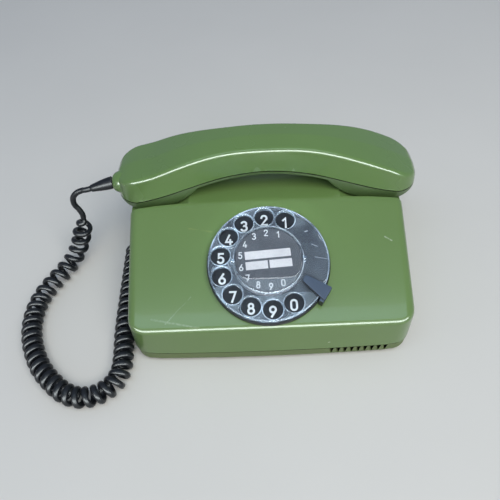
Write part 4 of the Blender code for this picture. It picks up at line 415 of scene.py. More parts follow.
def case_ring(side, distance, inset, bottom_z):
    """Section of the case from front to back: face, slope, deck, shoulder and rear."""
    draw = quarter_inset(distance, CORNER - inset)
    top = inset + quarter_inset(distance, SIDE_ROUND - inset)
    low_y = front_y(side, distance, inset, (bottom_z - SEAM_Z) / (FRONT_Z - SEAM_Z))
    high_y = front_y(side, distance, inset, 1.0)
    back_y = HALF_DEPTH - inset - draw
    reach = HALF_WIDTH * abs(side) if distance is None else HALF_WIDTH - inset - distance
    crown = crown_drop(reach)
    deck = DECK_Z - crown - top
    face_drop = top / math.cos(SLOPE)
    crease_y = CREASE_Y + (face_drop - top - crown) / math.tan(SLOPE)
    rear_drop = top * math.sqrt(1.0 + REAR_FALL ** 2)
    crest_y = CREST_Y - (rear_drop - top - crown) / REAR_FALL
    shoulder_z = DECK_Z - REAR_FALL * (back_y - CREST_Y) - rear_drop
    face_z = FRONT_Z + (high_y + HALF_DEPTH) * math.tan(SLOPE) - face_drop
    corners = [(low_y, bottom_z), (high_y, face_z - ROLL_DROP),
               (high_y + ROLL_RUN, face_z + ROLL_RUN * math.tan(SLOPE)),
               (crease_y, deck), (crest_y, deck), (back_y, shoulder_z), (back_y, bottom_z)]
    radii = (FRONT_ROUND - inset, 0.15, 0.0015, 0.007, 0.007)
    line = fillet(corners, radii, (12, 4, 4, 6, 6))
    return [Vector((station_x(side, distance, y, inset), y, z)) for y, z in line]


def case_solid(name, inset, bottom_z):
    return lofted(name, [case_ring(side, distance, inset, bottom_z)
                         for side, distance in stations(inset)])


def block(name, low, high, matrix=None):
    """Square-edged tool or body between two corners."""
    work = bmesh.new()
    middle = [0.5 * (a + b) for a, b in zip(low, high)]
    size = [b - a for a, b in zip(low, high)]
    bmesh.ops.create_cube(work, size=1.0, matrix=Matrix.Translation(middle)
                          @ Matrix.Diagonal((*size, 1.0)))
    return as_piece(name, work, matrix)


def pillar(name, radius, low, high, x=0.0, y=0.0, steps=32, matrix=None):
    """Upright round tool or post."""
    stand = Matrix.Translation((x, y, 0.0))
    return turned(name, [(0.0, high), (radius, high), (radius, low), (0.0, low)], steps,
                  matrix @ stand if matrix else stand)


def settle(item):
    """Makes an object's modifiers part of its mesh."""
    graph = bpy.context.evaluated_depsgraph_get()
    mesh = bpy.data.meshes.new_from_object(item.evaluated_get(graph))
    old = item.data
    item.modifiers.clear()
    item.data = mesh
    mesh.name = old.name
    bpy.data.meshes.remove(old)


def change(item, tool, operation="DIFFERENCE"):
    """Cuts or joins a tool solid at once, and drops the tool."""
    modifier = item.modifiers.new("change", "BOOLEAN")
    modifier.operation = operation
    modifier.solver = "EXACT"
    modifier.object = tool
    settle(item)
    bpy.data.objects.remove(tool)


def soften(item, width):
    """Breaks the sharp edges that cuts leave, and keeps flat faces flat in the shading."""
    bevel = item.modifiers.new("soften", "BEVEL")
    bevel.width = width
    bevel.segments = 2
    bevel.limit_method = "ANGLE"
    bevel.angle_limit = math.radians(38.0)
    bevel.miter_outer = "MITER_ARC"
    weigh = item.modifiers.new("shading", "WEIGHTED_NORMAL")
    weigh.keep_sharp = True
    weigh.weight = 80
    settle(item)


CUP_Z, JOINT_Z, SEAM_FALL, LIP_DEPTH = WELL_Z + 0.0008, WELL_Z + 0.0275, 0.019, 0.0034
CUP_START, CUP_FLAT, CUP_MIDDLE = 0.044, 0.074, -0.001
WELL_FRONT, WELL_BACK, WELL_MARGIN, WELL_GAP = 0.0076, 0.0519, 0.006, 0.0014


def seam_of(x):
    """Height of the handset's seam."""
    share = min(abs(x) / 0.09, 1.0)
    return JOINT_Z - SEAM_FALL * (1.0 - (1.0 - share ** 1.6) ** 1.25)


def cup_curve(reach):
    """Underside of a handset's cup, which the floor of its well follows."""
    share = within((reach - CUP_START) / (CUP_FLAT - CUP_START))
    start = seam_of(CUP_START) - LIP_DEPTH
    return CUP_Z + (start - CUP_Z) * (1.0 - math.sin(QUARTER * share ** 0.8))


def well_block(side, grow):
    """What is cut from the case for one of the handset's ends, grown by a wall's thickness."""
    top, outer, rings = DECK_Z + WELL_MARGIN, HALF_WIDTH + WELL_MARGIN, []
    runs = [CUP_START + (CUP_FLAT - CUP_START) * (0.13 + 0.87 * k / 18) for k in range(19)]
    for reach in (runs + [outer])[::int(side)]:
        x = side * (reach - grow) + CUP_MIDDLE
        floor = min(cup_curve(reach) - WELL_GAP - grow, top - 0.0003)
        front = WELL_FRONT - crown_drop(x) * (x / outer) ** 2 / math.tan(SLOPE) - grow
        back = WELL_BACK + grow
        rings.append([Vector((x, y, z)) for y, z in (
            (front, top), (front, floor), (back, floor), (back, top))])
    return lofted("well", rings)


shell = case_solid("green_top_shell", 0.0, SEAM_Z)
for side in (-1.0, 1.0):
    change(shell, well_block(side, 0.0))
room = case_solid("room", WALL, SEAM_Z - 0.006)
for side in (-1.0, 1.0):
    change(room, well_block(side, WALL))
change(shell, room)
SCREW_PLACES = [(side * 0.079, y) for side in (-1.0, 1.0) for y in (-0.0625, 0.0655)]
BOSS, BORE = 0.0042, 0.0018
for x, y in SCREW_PLACES:
    under = (FRONT_Z + (y - BOSS + HALF_DEPTH) * math.tan(SLOPE) if y < CREASE_Y
             else DECK_Z - REAR_FALL * (y + BOSS - CREST_Y))
    change(shell, pillar("boss", BOSS, 0.0058, under - 0.5 * WALL, x, y, 20), "UNION")
    change(shell, pillar("bore", BORE, 0.0, 0.0215, x, y, 12))
DIAL_Y, PIN_X = -0.038, 0.0685
DIAL = Matrix.Translation((0.0, DIAL_Y, FRONT_Z + (DIAL_Y + HALF_DEPTH) * math.tan(SLOPE)))
DIAL = DIAL @ Matrix.Rotation(SLOPE, 4, "X")
change(shell, pillar("opening", 0.0368, -0.006, 0.006, steps=96, matrix=DIAL))
for side in (-1.0, 1.0):
    change(shell, block("hook_hole", (side * PIN_X - 0.004, 0.0248, WELL_Z - 0.006),
                        (side * PIN_X + 0.004, 0.0338, WELL_Z + 0.006)))
soften(shell, 0.00035)


def scratch(tree, place, start, end, width):
    """Mask of one thin scratch: how near a point lies to the line from start to end."""
    run = Vector(end) - Vector(start)
    offset = add(tree, "VectorMath", {0: place, 1: tuple(start)}, operation="SUBTRACT").outputs[0]
    share = add(tree, "VectorMath", {0: offset, 1: tuple(run / run.length_squared)},
                operation="DOT_PRODUCT").outputs["Value"]
    share = add(tree, "Math", {0: share, 1: 0.0}, operation="ADD", use_clamp=True).outputs[0]
    along = add(tree, "VectorMath", {0: tuple(run), "Scale": share}, operation="SCALE").outputs[0]
    gap = add(tree, "VectorMath", {0: offset, 1: along}, operation="DISTANCE").outputs["Value"]
    return remap(tree, gap, 0.3 * width, width, 1.0, 0.0)


def aged_plastic(name, colour, roughness, coat, marks=(), haze=0.1, coat_roughness=0.05,
                 shine=0.5):
    """Green moulding: sun-drifted tone, fine mould grain, rubbed gloss, dust and scratches.
    A mark has its two ends, width, strength and colour."""
    material = surface(name, colour, roughness, drift=0.03, patch=16.0, grain=2600.0,
                       relief=0.006, coat=coat, dust=haze, shine=shine)
    tree = material.node_tree
    shader = tree.nodes["Principled BSDF"]
    shader.inputs["Coat Roughness"].default_value = coat_roughness
    place = add(tree, "TexCoord").outputs["Object"]
    colour_link = shader.inputs["Base Color"].links[0].from_socket
    for start, end, width, strength, pale in marks:
        wander = add(tree, "TexNoise", {"Vector": place, "Scale": 160.0}).outputs["Color"]
        bent = add(tree, "Mix", {0: 0.0012, 4: place, 5: wander}, data_type="VECTOR").outputs[1]
        mask = scratch(tree, bent, start, end, width)
        broken = remap(tree, noise(tree, place, 700.0), 0.35, 0.6, 0.2, 1.0)
        mask = add(tree, "Math", {0: mask, 1: broken}, operation="MULTIPLY").outputs[0]
        mask = add(tree, "Math", {0: mask, 1: strength}, operation="MULTIPLY").outputs[0]
        colour_link = tint(tree, mask, colour_link, (*pale, 1.0))
    tree.links.new(colour_link, shader.inputs["Base Color"])
    return material


def on_slope(x, y):
    """Point of the sloping face at a place seen from above."""
    return (x, y, FRONT_Z + (y + HALF_DEPTH) * math.tan(SLOPE))


PALE = (0.5, 0.58, 0.44)
case_green = aged_plastic("case green", (0.134, 0.222, 0.068), 0.3, 0.55, [
    (on_slope(-0.066, -0.071), on_slope(-0.050, -0.055), 0.0005, 0.45, PALE),
    (on_slope(0.0782, -0.0212), on_slope(0.0822, -0.0242), 0.0007, 0.8, PALE),
    (on_slope(-0.052, -0.010), on_slope(-0.036, -0.013), 0.0007, 0.25, (0.4, 0.4, 0.12)),
    (on_slope(-0.075, -0.068), on_slope(-0.045, -0.074), 0.0009, 0.3, PALE),
    ((0.0375, -0.0775, 0.020), (0.0382, -0.0775, 0.0203), 0.0007, 1.0, (0.8, 0.82, 0.7)),
], coat_roughness=0.13, shine=0.35)
# Seam finish: dirt in the groove, and painted shade for the shadow in the gap between two
# mouldings.
seam_dirt_and_painted_shade = surface("seam dirt and painted shade", (0.006, 0.01, 0.004), 0.95, drift=0.2, patch=300.0,
                    shine=0.05)


def paint_seam_shade(item, finish, seam, way):
    """Green finish; faces looking into the seam between two mouldings get dirt and painted shade.
    """
    item.data.materials.clear()
    item.data.materials.append(finish)
    item.data.materials.append(seam_dirt_and_painted_shade)
    for face in item.data.polygons:
        near = abs(face.center.z - seam(face.center.x)) < 0.0006
        if near and face.normal.z * way > 0.25:
            face.material_index = 1


paint_seam_shade(shell, case_green, lambda x: SEAM_Z, -1.0)
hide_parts("top_shell")
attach(shell, "case")


# Bottom tray: shallow satin pan in the same green, with a locating lip inside the seam,
# nine tapered vents in front, and holes for screws, feet, cords and the bell's knob.
RIM_Z = SEAM_Z - 0.0005
VENTS, VENT_X, VENT_PITCH, VENT_FOOT = 9, 0.0394, 0.00445, 0.0044
VENTS_FROM, VENTS_TO, VENTS_BEHIND = 0.037, 0.078, -0.0725
HOLE_FLOOR, HOLE_TOP = -0.003, 0.0115


def plan_ring(inset, z):
    """Outline of the case at a height."""
    front, back = [], []
    for side, distance in stations(inset):
        y = front_y(side, distance, inset, 0.0)
        front.append(Vector((station_x(side, distance, y, inset), y, z)))
        y = HALF_DEPTH - inset - quarter_inset(distance, CORNER - inset)
        back.append(Vector((station_x(side, distance, y, inset), y, z)))
    return front + back[::-1]


def flat_solid(name, loops, thickness, matrix=None, edge=0.0):
    """Flat outline with any holes, thickened to both sides of its own plane."""
    curve = bpy.data.curves.new(name, "CURVE")
    curve.dimensions = "2D"
    curve.fill_mode = "BOTH"
    curve.extrude = 0.5 * thickness - edge
    curve.bevel_depth = edge
    curve.bevel_resolution = 2
    curve.offset = -edge
    for loop in loops:
        spline = curve.splines.new("POLY")
        spline.points.add(len(loop) - 1)
        for knot, (x, y) in zip(spline.points, loop):
            knot.co = (x, y, 0.0, 1.0)
        spline.use_cyclic_u = True
    guide = bpy.data.objects.new(name, curve)
    scene.collection.objects.link(guide)
    graph = bpy.context.evaluated_depsgraph_get()
    mesh = bpy.data.meshes.new_from_object(guide.evaluated_get(graph))
    bpy.data.objects.remove(guide)
    work = bmesh.new()
    work.from_mesh(mesh)
    bpy.data.meshes.remove(mesh)
    bmesh.ops.remove_doubles(work, verts=work.verts, dist=0.000005)
    return as_piece(name, work, matrix)


tray = lofted("green_tray", [plan_ring(0.003, 0.003), plan_ring(0.0021, 0.0034),
                             plan_ring(0.0013, 0.0039), plan_ring(0.001, 0.0046),
                             plan_ring(0.0004, RIM_Z - 0.0006), plan_ring(0.0014, RIM_Z),
                             plan_ring(0.0029, RIM_Z), plan_ring(0.0029, RIM_Z + 0.003)])
change(tray, lofted("tray_room", [plan_ring(0.0032, 0.0055), plan_ring(0.0032, RIM_Z - 0.0034),
                                  plan_ring(0.0046, RIM_Z - 0.0017),
                                  plan_ring(0.0046, RIM_Z + 0.009)]))
front_stand = Matrix.Translation((0.0, -HALF_DEPTH, 0.0)) @ Matrix.Rotation(QUARTER, 4, "X")
for index in range(VENTS):
    middle = VENT_X + index * VENT_PITCH
    vent = [(middle - 0.0015, SEAM_Z), (middle - 0.0005, VENT_FOOT),
            (middle + 0.0005, VENT_FOOT), (middle + 0.0015, SEAM_Z)]
    change(tray, flat_solid("vent", [vent], 0.012, front_stand))
for x, y in SCREW_PLACES:
    change(tray, pillar("bore", BORE, HOLE_FLOOR, HOLE_TOP, x, y, 12))
    change(tray, pillar("recess", 0.0035, HOLE_FLOOR, 0.0044, x, y, 20))
for x in (-0.068, 0.068):
    for y in (-0.052, 0.056):
        change(tray, pillar("foot_hole", 0.0027, HOLE_FLOOR, HOLE_TOP, x, y, 16))
for x in (-0.062, 0.03):
    back_hole = Matrix.Translation((x, HALF_DEPTH, 0.0092)) @ Matrix.Rotation(QUARTER, 4, "X")
    change(tray, pillar("cord_hole", 0.0029, -0.006, 0.006, steps=20, matrix=back_hole))
    change(tray, block("notch", (x - 0.0038, 0.0696, 0.0055), (x + 0.0038, 0.0756, 0.022)))
change(tray, pillar("knob_hole", 0.0025, HOLE_FLOOR, HOLE_TOP, 0.052, 0.012, 16))
soften(tray, 0.0002)
tray_green = aged_plastic("tray green", (0.15, 0.2, 0.078), 0.5, coat=0.0, haze=0.12,
                          shine=0.2)
paint_seam_shade(tray, tray_green, lambda x: RIM_Z - 0.0004, 1.0)
# Side faces of the vents get the seam finish as well: painted shade for the dark room behind the
# slots.
for face in tray.data.polygons:
    in_vents = VENTS_FROM < face.center.x < VENTS_TO and face.center.y < VENTS_BEHIND
    if in_vents and abs(face.normal.x) > 0.5:
        face.material_index = 1
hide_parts("bottom_tray")
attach(tray, "case")


# Case screws and feet: slotted zinc-plated screws hold the two halves together, and four
# dark rubber feet are pulled through the tray's holes by their bulbs.
zinc_steel = surface("zinc plated steel", (0.56, 0.56, 0.53), 0.36, metallic=1.0, drift=0.1,
                     patch=90.0, grain=2600.0, relief=0.05)
dress(zinc_steel, "case_screw_1", "case_screw_2", "case_screw_3", "case_screw_4")
foot_rubber = surface("foot rubber", (0.032, 0.032, 0.031), 0.78, drift=0.2, patch=140.0,
                      grain=3200.0, relief=0.3, dust=0.35)
dress(foot_rubber, "foot_1", "foot_2", "foot_3", "foot_4")


# Number plate: black moulded dish clipped into the sloping face. Its floor carries the ten
# white printed figures that are read through the finger holes.
dial_black = surface("dial black", (0.01, 0.011, 0.015), 0.4, drift=0.25, patch=120.0,
                     grain=2600.0, relief=0.05, dust=0.06, shine=0.3)
plate = turned("number_dish", [
    (0.0398, 0.0042), (0.0398, 0.0003), (0.0364, 0.0003), (0.0364, -0.0075),
    (0.0346, -0.0075), (0.0346, 0.0008), (0.0034, 0.0008), (0.0034, 0.0025), (0.0381, 0.0025),
    (0.0381, 0.0043), (0.0384, 0.0046), (0.0394, 0.0046), (0.0397, 0.0045)], 96, DIAL, True)
plate.data.materials.append(dial_black)
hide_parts("number_plate")
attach(plate, "case")


def bowl(x, y, wide, high, start, end, count=12):
    """Curved stroke of a figure, from one angle to another."""
    return [(x + wide * math.cos(math.radians(start + (end - start) * k / count)),
             y + high * math.sin(math.radians(start + (end - start) * k / count)))
            for k in range(count + 1)]


FIGURES = {
    "0": [bowl(0.28, 0.72, 0.28, 0.28, 0, 180) + bowl(0.28, 0.28, 0.28, 0.28, 180, 360)
          + [(0.56, 0.72)]],
    "1": [[(0.1, 0.76), (0.36, 1.0), (0.36, 0.0)]],
    "2": [bowl(0.28, 0.73, 0.27, 0.27, 175, -22) + [(0.02, 0.0), (0.58, 0.0)]],
    "3": [bowl(0.26, 0.76, 0.25, 0.24, 150, -90, 10)
          + bowl(0.26, 0.27, 0.29, 0.27, 88, -150, 12)],
    "4": [[(0.36, 1.0), (0.0, 0.26), (0.62, 0.26)], [(0.44, 0.5), (0.44, 0.0)]],
    "5": [[(0.52, 1.0), (0.1, 1.0), (0.07, 0.56)] + bowl(0.26, 0.32, 0.29, 0.31, 112, -150)],
    "6": [[(0.42, 1.0)] + bowl(0.28, 0.29, 0.28, 0.29, 158, 518, 20)],
    "7": [[(0.0, 1.0), (0.56, 1.0), (0.2, 0.0)]],
    "8": [bowl(0.28, 0.76, 0.22, 0.24, -90, 270, 18), bowl(0.28, 0.27, 0.28, 0.27, 90, 450, 18)],
    "9": [[(0.14, 0.0)] + bowl(0.28, 0.71, 0.28, 0.29, -22, 338, 20)],
}


INK_DEPTH, INK_STEP, FIGURE_MIDDLE = 0.00012, 0.0000015, 0.28


def figure(name, word, height, stroke, x, y, z, wide=1.0):
    """Printed figure: each stroke is a thin ribbon, which rises a hair along its way so that
    it never lies level with itself where it crosses."""
    work = bmesh.new()
    half = 0.5 * stroke
    size = height - stroke
    for path in FIGURES[word]:
        line = [Vector((x + (px - FIGURE_MIDDLE) * size * wide, y + (py - 0.5) * size))
                for px, py in path]
        left, right = [], []
        for index, point in enumerate(line):
            before = (point - line[max(index - 1, 0)]).normalized()
            after = (line[min(index + 1, len(line) - 1)] - point).normalized()
            along = before + after
            along = along.normalized() if along.length > 1e-6 else (before or after)
            side = Vector((-along.y, along.x))
            bend = before if before.length > 0.5 else after
            widen = 1.0 / max(abs(along.dot(bend)), 0.62)
            left.append(point + side * half * widen)
            right.append(point - side * half * widen)
        lead = (line[1] - line[0]).normalized()
        tail = (line[-1] - line[-2]).normalized()
        if (line[0] - line[-1]).length >= 0.1 * stroke:
            left[0] -= lead * 0.8 * half
            right[0] -= lead * 0.8 * half
            left[-1] += tail * 0.8 * half
            right[-1] += tail * 0.8 * half
        rows = []
        for a, b in zip(left, right):
            z += INK_STEP
            rows.append([work.verts.new((a.x, a.y, z)), work.verts.new((b.x, b.y, z)),
                         work.verts.new((b.x, b.y, z - INK_DEPTH)),
                         work.verts.new((a.x, a.y, z - INK_DEPTH))])
        for row, following in zip(rows, rows[1:]):
            for k in range(4):
                work.faces.new((row[k], row[(k + 1) % 4], following[(k + 1) % 4], following[k]))
        work.faces.new(rows[0])
        work.faces.new(rows[-1])
    return as_piece(name, work, DIAL)


FIRST, STEP = math.radians(67.0), TURN / 14
RING_FIGURES, RING_HEIGHT, RING_STROKE = 0.0313, 0.0077, 0.00125
white_print = surface("white print", (0.52, 0.54, 0.56), 0.5, drift=0.05, patch=300.0,
                      grain=4000.0, relief=0.03)
for index, word in enumerate("1234567890"):
    angle = FIRST + index * STEP
    printed = figure("ring_figure_" + word, word, RING_HEIGHT, RING_STROKE,
                     RING_FIGURES * math.cos(angle), RING_FIGURES * math.sin(angle), 0.0026)
    printed.data.materials.append(white_print)
    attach(printed, "case")


# Finger wheel: clear polished moulding with ten finger holes. Its rim and the lip round
# each hole stand proud and are rubbed whitish by fingers.
def circle(radius, count, x=0.0, y=0.0):
    return [(x + radius * math.cos(TURN * k / count), y + radius * math.sin(TURN * k / count))
            for k in range(count)]


def clear_plastic(name, colour, roughness, see_through, haze, marks=()):
    """Clear moulding with faint rubbed patches and thin scratches. A mark has its two ends,
    width and strength. Most of the light passes straight on to what lies below."""
    material = surface(name, colour, roughness, drift=0.05, patch=90.0, grain=900.0,
                       relief=0.0)
    tree = material.node_tree
    shader = tree.nodes["Principled BSDF"]
    shader.inputs["IOR"].default_value = 1.49
    place = add(tree, "TexCoord").outputs["Object"]
    rubbed = noise(tree, place, 90.0, 2.0, 0.6)
    clear = remap(tree, rubbed, 0.4, 0.7, see_through, see_through - haze)
    for start, end, width, strength in marks:
        line = [tuple(DIAL @ Vector((x, y, WHEEL_TOP))) for x, y in (start, end)]
        mask = scratch(tree, place, line[0], line[1], width)
        clear = add(tree, "Math", {0: mask, 1: -strength, 2: clear},
                    operation="MULTIPLY_ADD").outputs[0]
    tree.links.new(clear, shader.inputs["Transmission Weight"])
    passing = add(tree, "BsdfTransparent", {"Color": (0.9, 0.92, 0.94, 1.0)}).outputs[0]
    light = add(tree, "LightPath").outputs["Is Shadow Ray"]
    mixed = add(tree, "MixShader", {0: light, 1: shader.outputs[0], 2: passing}).outputs[0]
    tree.links.new(mixed, tree.nodes["Material Output"].inputs["Surface"])
    return material


WHEEL_RADIUS, WHEEL_BORE, HOLE_CIRCLE, HOLE_RADIUS = 0.039, 0.0211, 0.0312, 0.0062
WHEEL_MIDDLE, WHEEL_TOP, LIP_FOOT = 0.0066, 0.0082, 0.0081
HOLES = [(HOLE_CIRCLE * math.cos(FIRST + k * STEP), HOLE_CIRCLE * math.sin(FIRST + k * STEP))
         for k in range(10)]
wheel_outline = [circle(WHEEL_RADIUS, 120), circle(WHEEL_BORE, 96)]
wheel_outline += [circle(HOLE_RADIUS, 40, x, y) for x, y in HOLES]
wheel = flat_solid("clear_finger_wheel", wheel_outline, 0.0032,
                   DIAL @ Matrix.Translation((0.0, 0.0, WHEEL_MIDDLE)), 0.0004)
clear_wheel = clear_plastic("clear wheel", (0.74, 0.84, 0.95), 0.03, 0.97, 0.06, [
    ((0.0246, 0.0196), (0.0262, 0.0201), 0.0005, 0.5),
    ((0.0282, 0.0108), (0.0318, 0.0091), 0.0003, 0.4),
    ((0.0330, 0.0170), (0.0344, 0.0140), 0.0003, 0.4),
    ((0.0296, 0.0020), (0.0372, 0.0004), 0.0003, 0.35),
    ((0.0150, -0.0246), (0.0230, -0.0216), 0.0003, 0.3),
    ((-0.0262, 0.0010), (-0.0246, -0.0040), 0.0003, 0.3)])
wheel.data.materials.append(clear_wheel)
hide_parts("finger_wheel")
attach(wheel, "dial")


def lip(name, radius, width, low, high, x=0.0, y=0.0, steps=48):
    """Half-round raised ring about the dial's own direction."""
    profile = [(radius + 0.5 * width * math.cos(QUARTER * k / 3.0),
                low + (high - low) * math.sin(QUARTER * k / 3.0)) for k in range(0, 7)]
    return turned(name, profile + [(radius - 0.5 * width, low - 0.0003),
                                   (radius + 0.5 * width, low - 0.0003)], steps,
                  DIAL @ Matrix.Translation((x, y, 0.0)), True)


rubbed_edge = clear_plastic("rubbed edge", (0.7, 0.78, 0.86), 0.2, 0.95, 0.4)
rims = [lip("hole_lip_%d" % index, HOLE_RADIUS + 0.0005, 0.0006, LIP_FOOT, 0.0085, x, y, 40)
        for index, (x, y) in enumerate(HOLES)]
rims.append(lip("wheel_lip", WHEEL_RADIUS - 0.0006, 0.0007, LIP_FOOT, 0.0086, steps=120))
for rim in rims:
    rim.data.materials.append(rubbed_edge)
    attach(rim, "dial")


# Dial centre: a black hub carries a printed card with a second ring of figures and three
# blank white labels, under a clear cap that two small bosses hold.
hub = turned("card_hub", [(0.0208, 0.0115), (0.0208, 0.005), (0.0194, 0.005), (0.0194, 0.0101),
                          (0.0034, 0.0101), (0.0034, 0.0115)], 72, DIAL, True)
hub.data.materials.append(dial_black)
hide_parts("card_holder")
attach(hub, "dial")
card = turned("printed_card", [(0.0, 0.0126), (0.0206, 0.0126), (0.0208, 0.0124),
                               (0.0208, 0.0118), (0.0, 0.0118)], 96, DIAL)
card_black = surface("card black", (0.03, 0.034, 0.044), 0.5, drift=0.15, patch=200.0,
                     grain=3000.0, relief=0.05, dust=0.05)
card.data.materials.append(card_black)
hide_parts("number_card")
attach(card, "dial")
CARD_FIGURES, CARD_HEIGHT, CARD_STROKE, PRINT_Z = 0.0179, 0.0045, 0.0006, 0.01268
for index, word in enumerate("1234567890"):
    angle = FIRST + index * STEP
    printed = figure("card_figure_" + word, word, CARD_HEIGHT, CARD_STROKE,
                     CARD_FIGURES * math.cos(angle), CARD_FIGURES * math.sin(angle), PRINT_Z, 0.94)
    printed.data.materials.append(white_print)
    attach(printed, "dial")
label_paper = surface("label paper", (0.44, 0.42, 0.43), 0.6, drift=0.04, patch=400.0,
                      grain=5000.0, relief=0.05)
LABELS = [(-0.0146, 0.0144, 0.0009, 0.0062), (-0.0146, -0.00065, -0.00595, -0.00065),
          (0.0005, 0.0146, -0.00595, -0.00065)]
label_stand = DIAL @ Matrix.Rotation(math.radians(3.2), 4, "Z")
for index, (left, right, low, high) in enumerate(LABELS):
    label = block("blank_label_%d" % index, (left, low, PRINT_Z - 0.00013),
                  (right, high, PRINT_Z), label_stand)
    label.data.materials.append(label_paper)
    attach(label, "dial")
CAP_RADIUS = 0.0228
cap = turned("clear_card_cap", [
    (0.0, 0.0146), (0.005, 0.01456), (0.01, 0.01445), (0.015, 0.01426), (0.0185, 0.01407),
    (0.0202, 0.01396), (0.0208, 0.01391), (0.0212, 0.01386), (0.0217, 0.01372),
    (0.0224, 0.0133), (0.0227, 0.0127), (CAP_RADIUS, 0.012), (CAP_RADIUS, 0.0085),
    (0.0211, 0.0085), (0.0211, 0.0128), (0.0, 0.0129)], 96, DIAL)
clear_cap = clear_plastic("clear cap", (0.93, 0.95, 0.98), 0.015, 0.992, 0.01)
cap.data.materials.append(clear_cap)
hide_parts("card_cover")
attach(cap, "dial")
for side, word in ((-1.0, "left"), (1.0, "right")):
    snap_stand = DIAL @ Matrix.Translation((side * CAP_RADIUS, 0.0, 0.0))
    snap = turned("cap_boss_" + word, [
        (0.0, 0.0144), (0.0006, 0.01435), (0.0011, 0.0141), (0.0015, 0.0137), (0.0016, 0.013),
        (0.0016, 0.0085), (0.0, 0.0085)], 20, snap_stand)
    snap.data.materials.append(clear_wheel)
    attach(snap, "dial")
ring = lip("cap_lip", 0.0223, 0.0005, 0.0133, 0.01375, steps=96)
ring.data.materials.append(rubbed_edge)
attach(ring, "dial")


# Finger stop: dark blue-grey moulded wedge that reaches in over the wheel, on a leg that
# is screwed down beside the dish.
stop_turn = DIAL @ Matrix.Rotation(math.radians(-34.0), 4, "Z")
NOSE_X, NOSE_ROUND = 0.0266, 0.0018


def stop_loop(grow):
    """Outline of the wedge: rounded inner end, straight sides that spread outwards."""
    loop, radius = [], NOSE_ROUND + grow
    for y, start in ((0.0026, 90.0), (0.0012, 180.0)):
        for k in range(7):
            angle = math.radians(start + 15.0 * k)
            loop.append((NOSE_X + radius * math.cos(angle), y + radius * math.sin(angle)))
    return loop + [(0.0422, -0.0042 - grow), (0.0431 + grow, -0.0040), (0.0431 + grow, 0.0046),
                   (0.0424, 0.0055 + grow)]


stop_layers = ((0.0, 0.0088), (0.0, 0.011), (-0.0003, 0.0114))
stop = lofted("grey_finger_stop", [[Vector((x, y, z)) for x, y in stop_loop(grow)]
                                   for grow, z in stop_layers], stop_turn)
leg = block("leg", (0.0401, -0.0055, 0.0003), (0.0429, 0.0055, 0.0095), stop_turn)
change(stop, leg, "UNION")
soften(stop, 0.0003)
stop_grey = surface("stop grey", (0.052, 0.078, 0.13), 0.4, drift=0.12, patch=120.0,
                    grain=2000.0, relief=0.08, dust=0.15)
stop.data.materials.clear()
stop.data.materials.append(stop_grey)
stop.data.materials.append(dial_black)
# Faces of the stop that turn away from the dial's face, its sides and leg, get the dial's black:
# painted shade on the side away from the lamps.
dial_way = DIAL.to_3x3() @ Vector((0.0, 0.0, 1.0))
for face in stop.data.polygons:
    if face.normal.dot(dial_way) < 0.3:
        face.material_index = 1
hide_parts("finger_stop")
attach(stop, "case")


# Dial works: a steel frame of two plates, brass gears, the pulse cam with its contacts,
# the governor in its cup, and the bronze return spring. All hidden under the face.
cut_brass = surface("cut brass", (0.62, 0.44, 0.16), 0.3, metallic=1.0, patch=110.0,
                    grain=2200.0, relief=0.05)
spring_bronze = surface("spring bronze", (0.52, 0.34, 0.15), 0.32, metallic=1.0, drift=0.15,
                        patch=150.0, grain=2600.0)
dress(zinc_steel, "dial_shaft", "dial_top_plate", "dial_back_plate", "governor_cup")
dress(cut_brass, "main_gear", "pulse_wheel", "governor")
dress(spring_bronze, "return_spring", "pulse_contacts")


# Handset: two glossy green mouldings that meet at a level seam, waisted at the grip and
# full at both ends. The upper one carries the collar of the cord.
LENGTH, SHIFT, MID_Y, CUP_BIAS = 0.103, 0.0015, 0.0293, 0.0025
TOP_Z, TOP_FALL, COLLAR_SWELL = WELL_Z + 0.0445, 0.029, 0.0055
GRIP_END, GRIP_HALF, END_SWELL = 0.02, 0.0155, 0.0054
PLAN_ROUND, EDGE_ROUND, END_LIFT = 0.016, 0.0045, 0.0055
SEAM_ABOVE, SEAM_BELOW, BULGE, BELLY = 0.0003, 0.0004, 0.0012, 0.0022


def half_y(x, inset):
    """Half the handset's width: waisted at the grip, rounded at the ends."""
    half = GRIP_HALF + END_SWELL * eased(within((abs(x) - GRIP_END) / 0.058))
    distance = max(LENGTH - inset - abs(x), 0.0)
    return half - inset - quarter_inset(distance, PLAN_ROUND - inset)


def top_of(x, inset):
    """Arched back of the handset, a little fuller over the collar of the cord."""
    distance = max(LENGTH - inset - abs(x), 0.0)
    full = COLLAR_SWELL * eased(within(1.0 - (LENGTH + x) / 0.031))
    arch = TOP_Z - TOP_FALL * (abs(x) / LENGTH) ** 2.2
    return arch + full - inset - quarter_inset(distance, EDGE_ROUND)


def bottom_of(x):
    """Underside of the handset: the grip, the cups' inner ends and their flats."""
    reach = abs(x + CUP_BIAS)
    grip = seam_of(x) - LIP_DEPTH
    if reach <= CUP_START:
        return grip
    if reach <= CUP_FLAT:
        return min(cup_curve(reach), grip)
    return CUP_Z + END_LIFT * (max(abs(x) - 0.085, 0.0) / 0.018) ** 2


def upper_ring(x, inset, overrun):
    """Section of the upper moulding, from its seam over the back."""
    half, top = half_y(x, inset), top_of(x, inset)
    seam = seam_of(x) + SEAM_ABOVE - overrun
    corners = [(-half, seam), (-half + BULGE, top), (0.0, top + BULGE), (half - BULGE, top),
               (half, seam)]
    line = fillet(corners, (0.0032, 0.0128, 0.0032), (9, 4, 9))
    return [Vector((x + SHIFT, MID_Y + y, z)) for y, z in line]


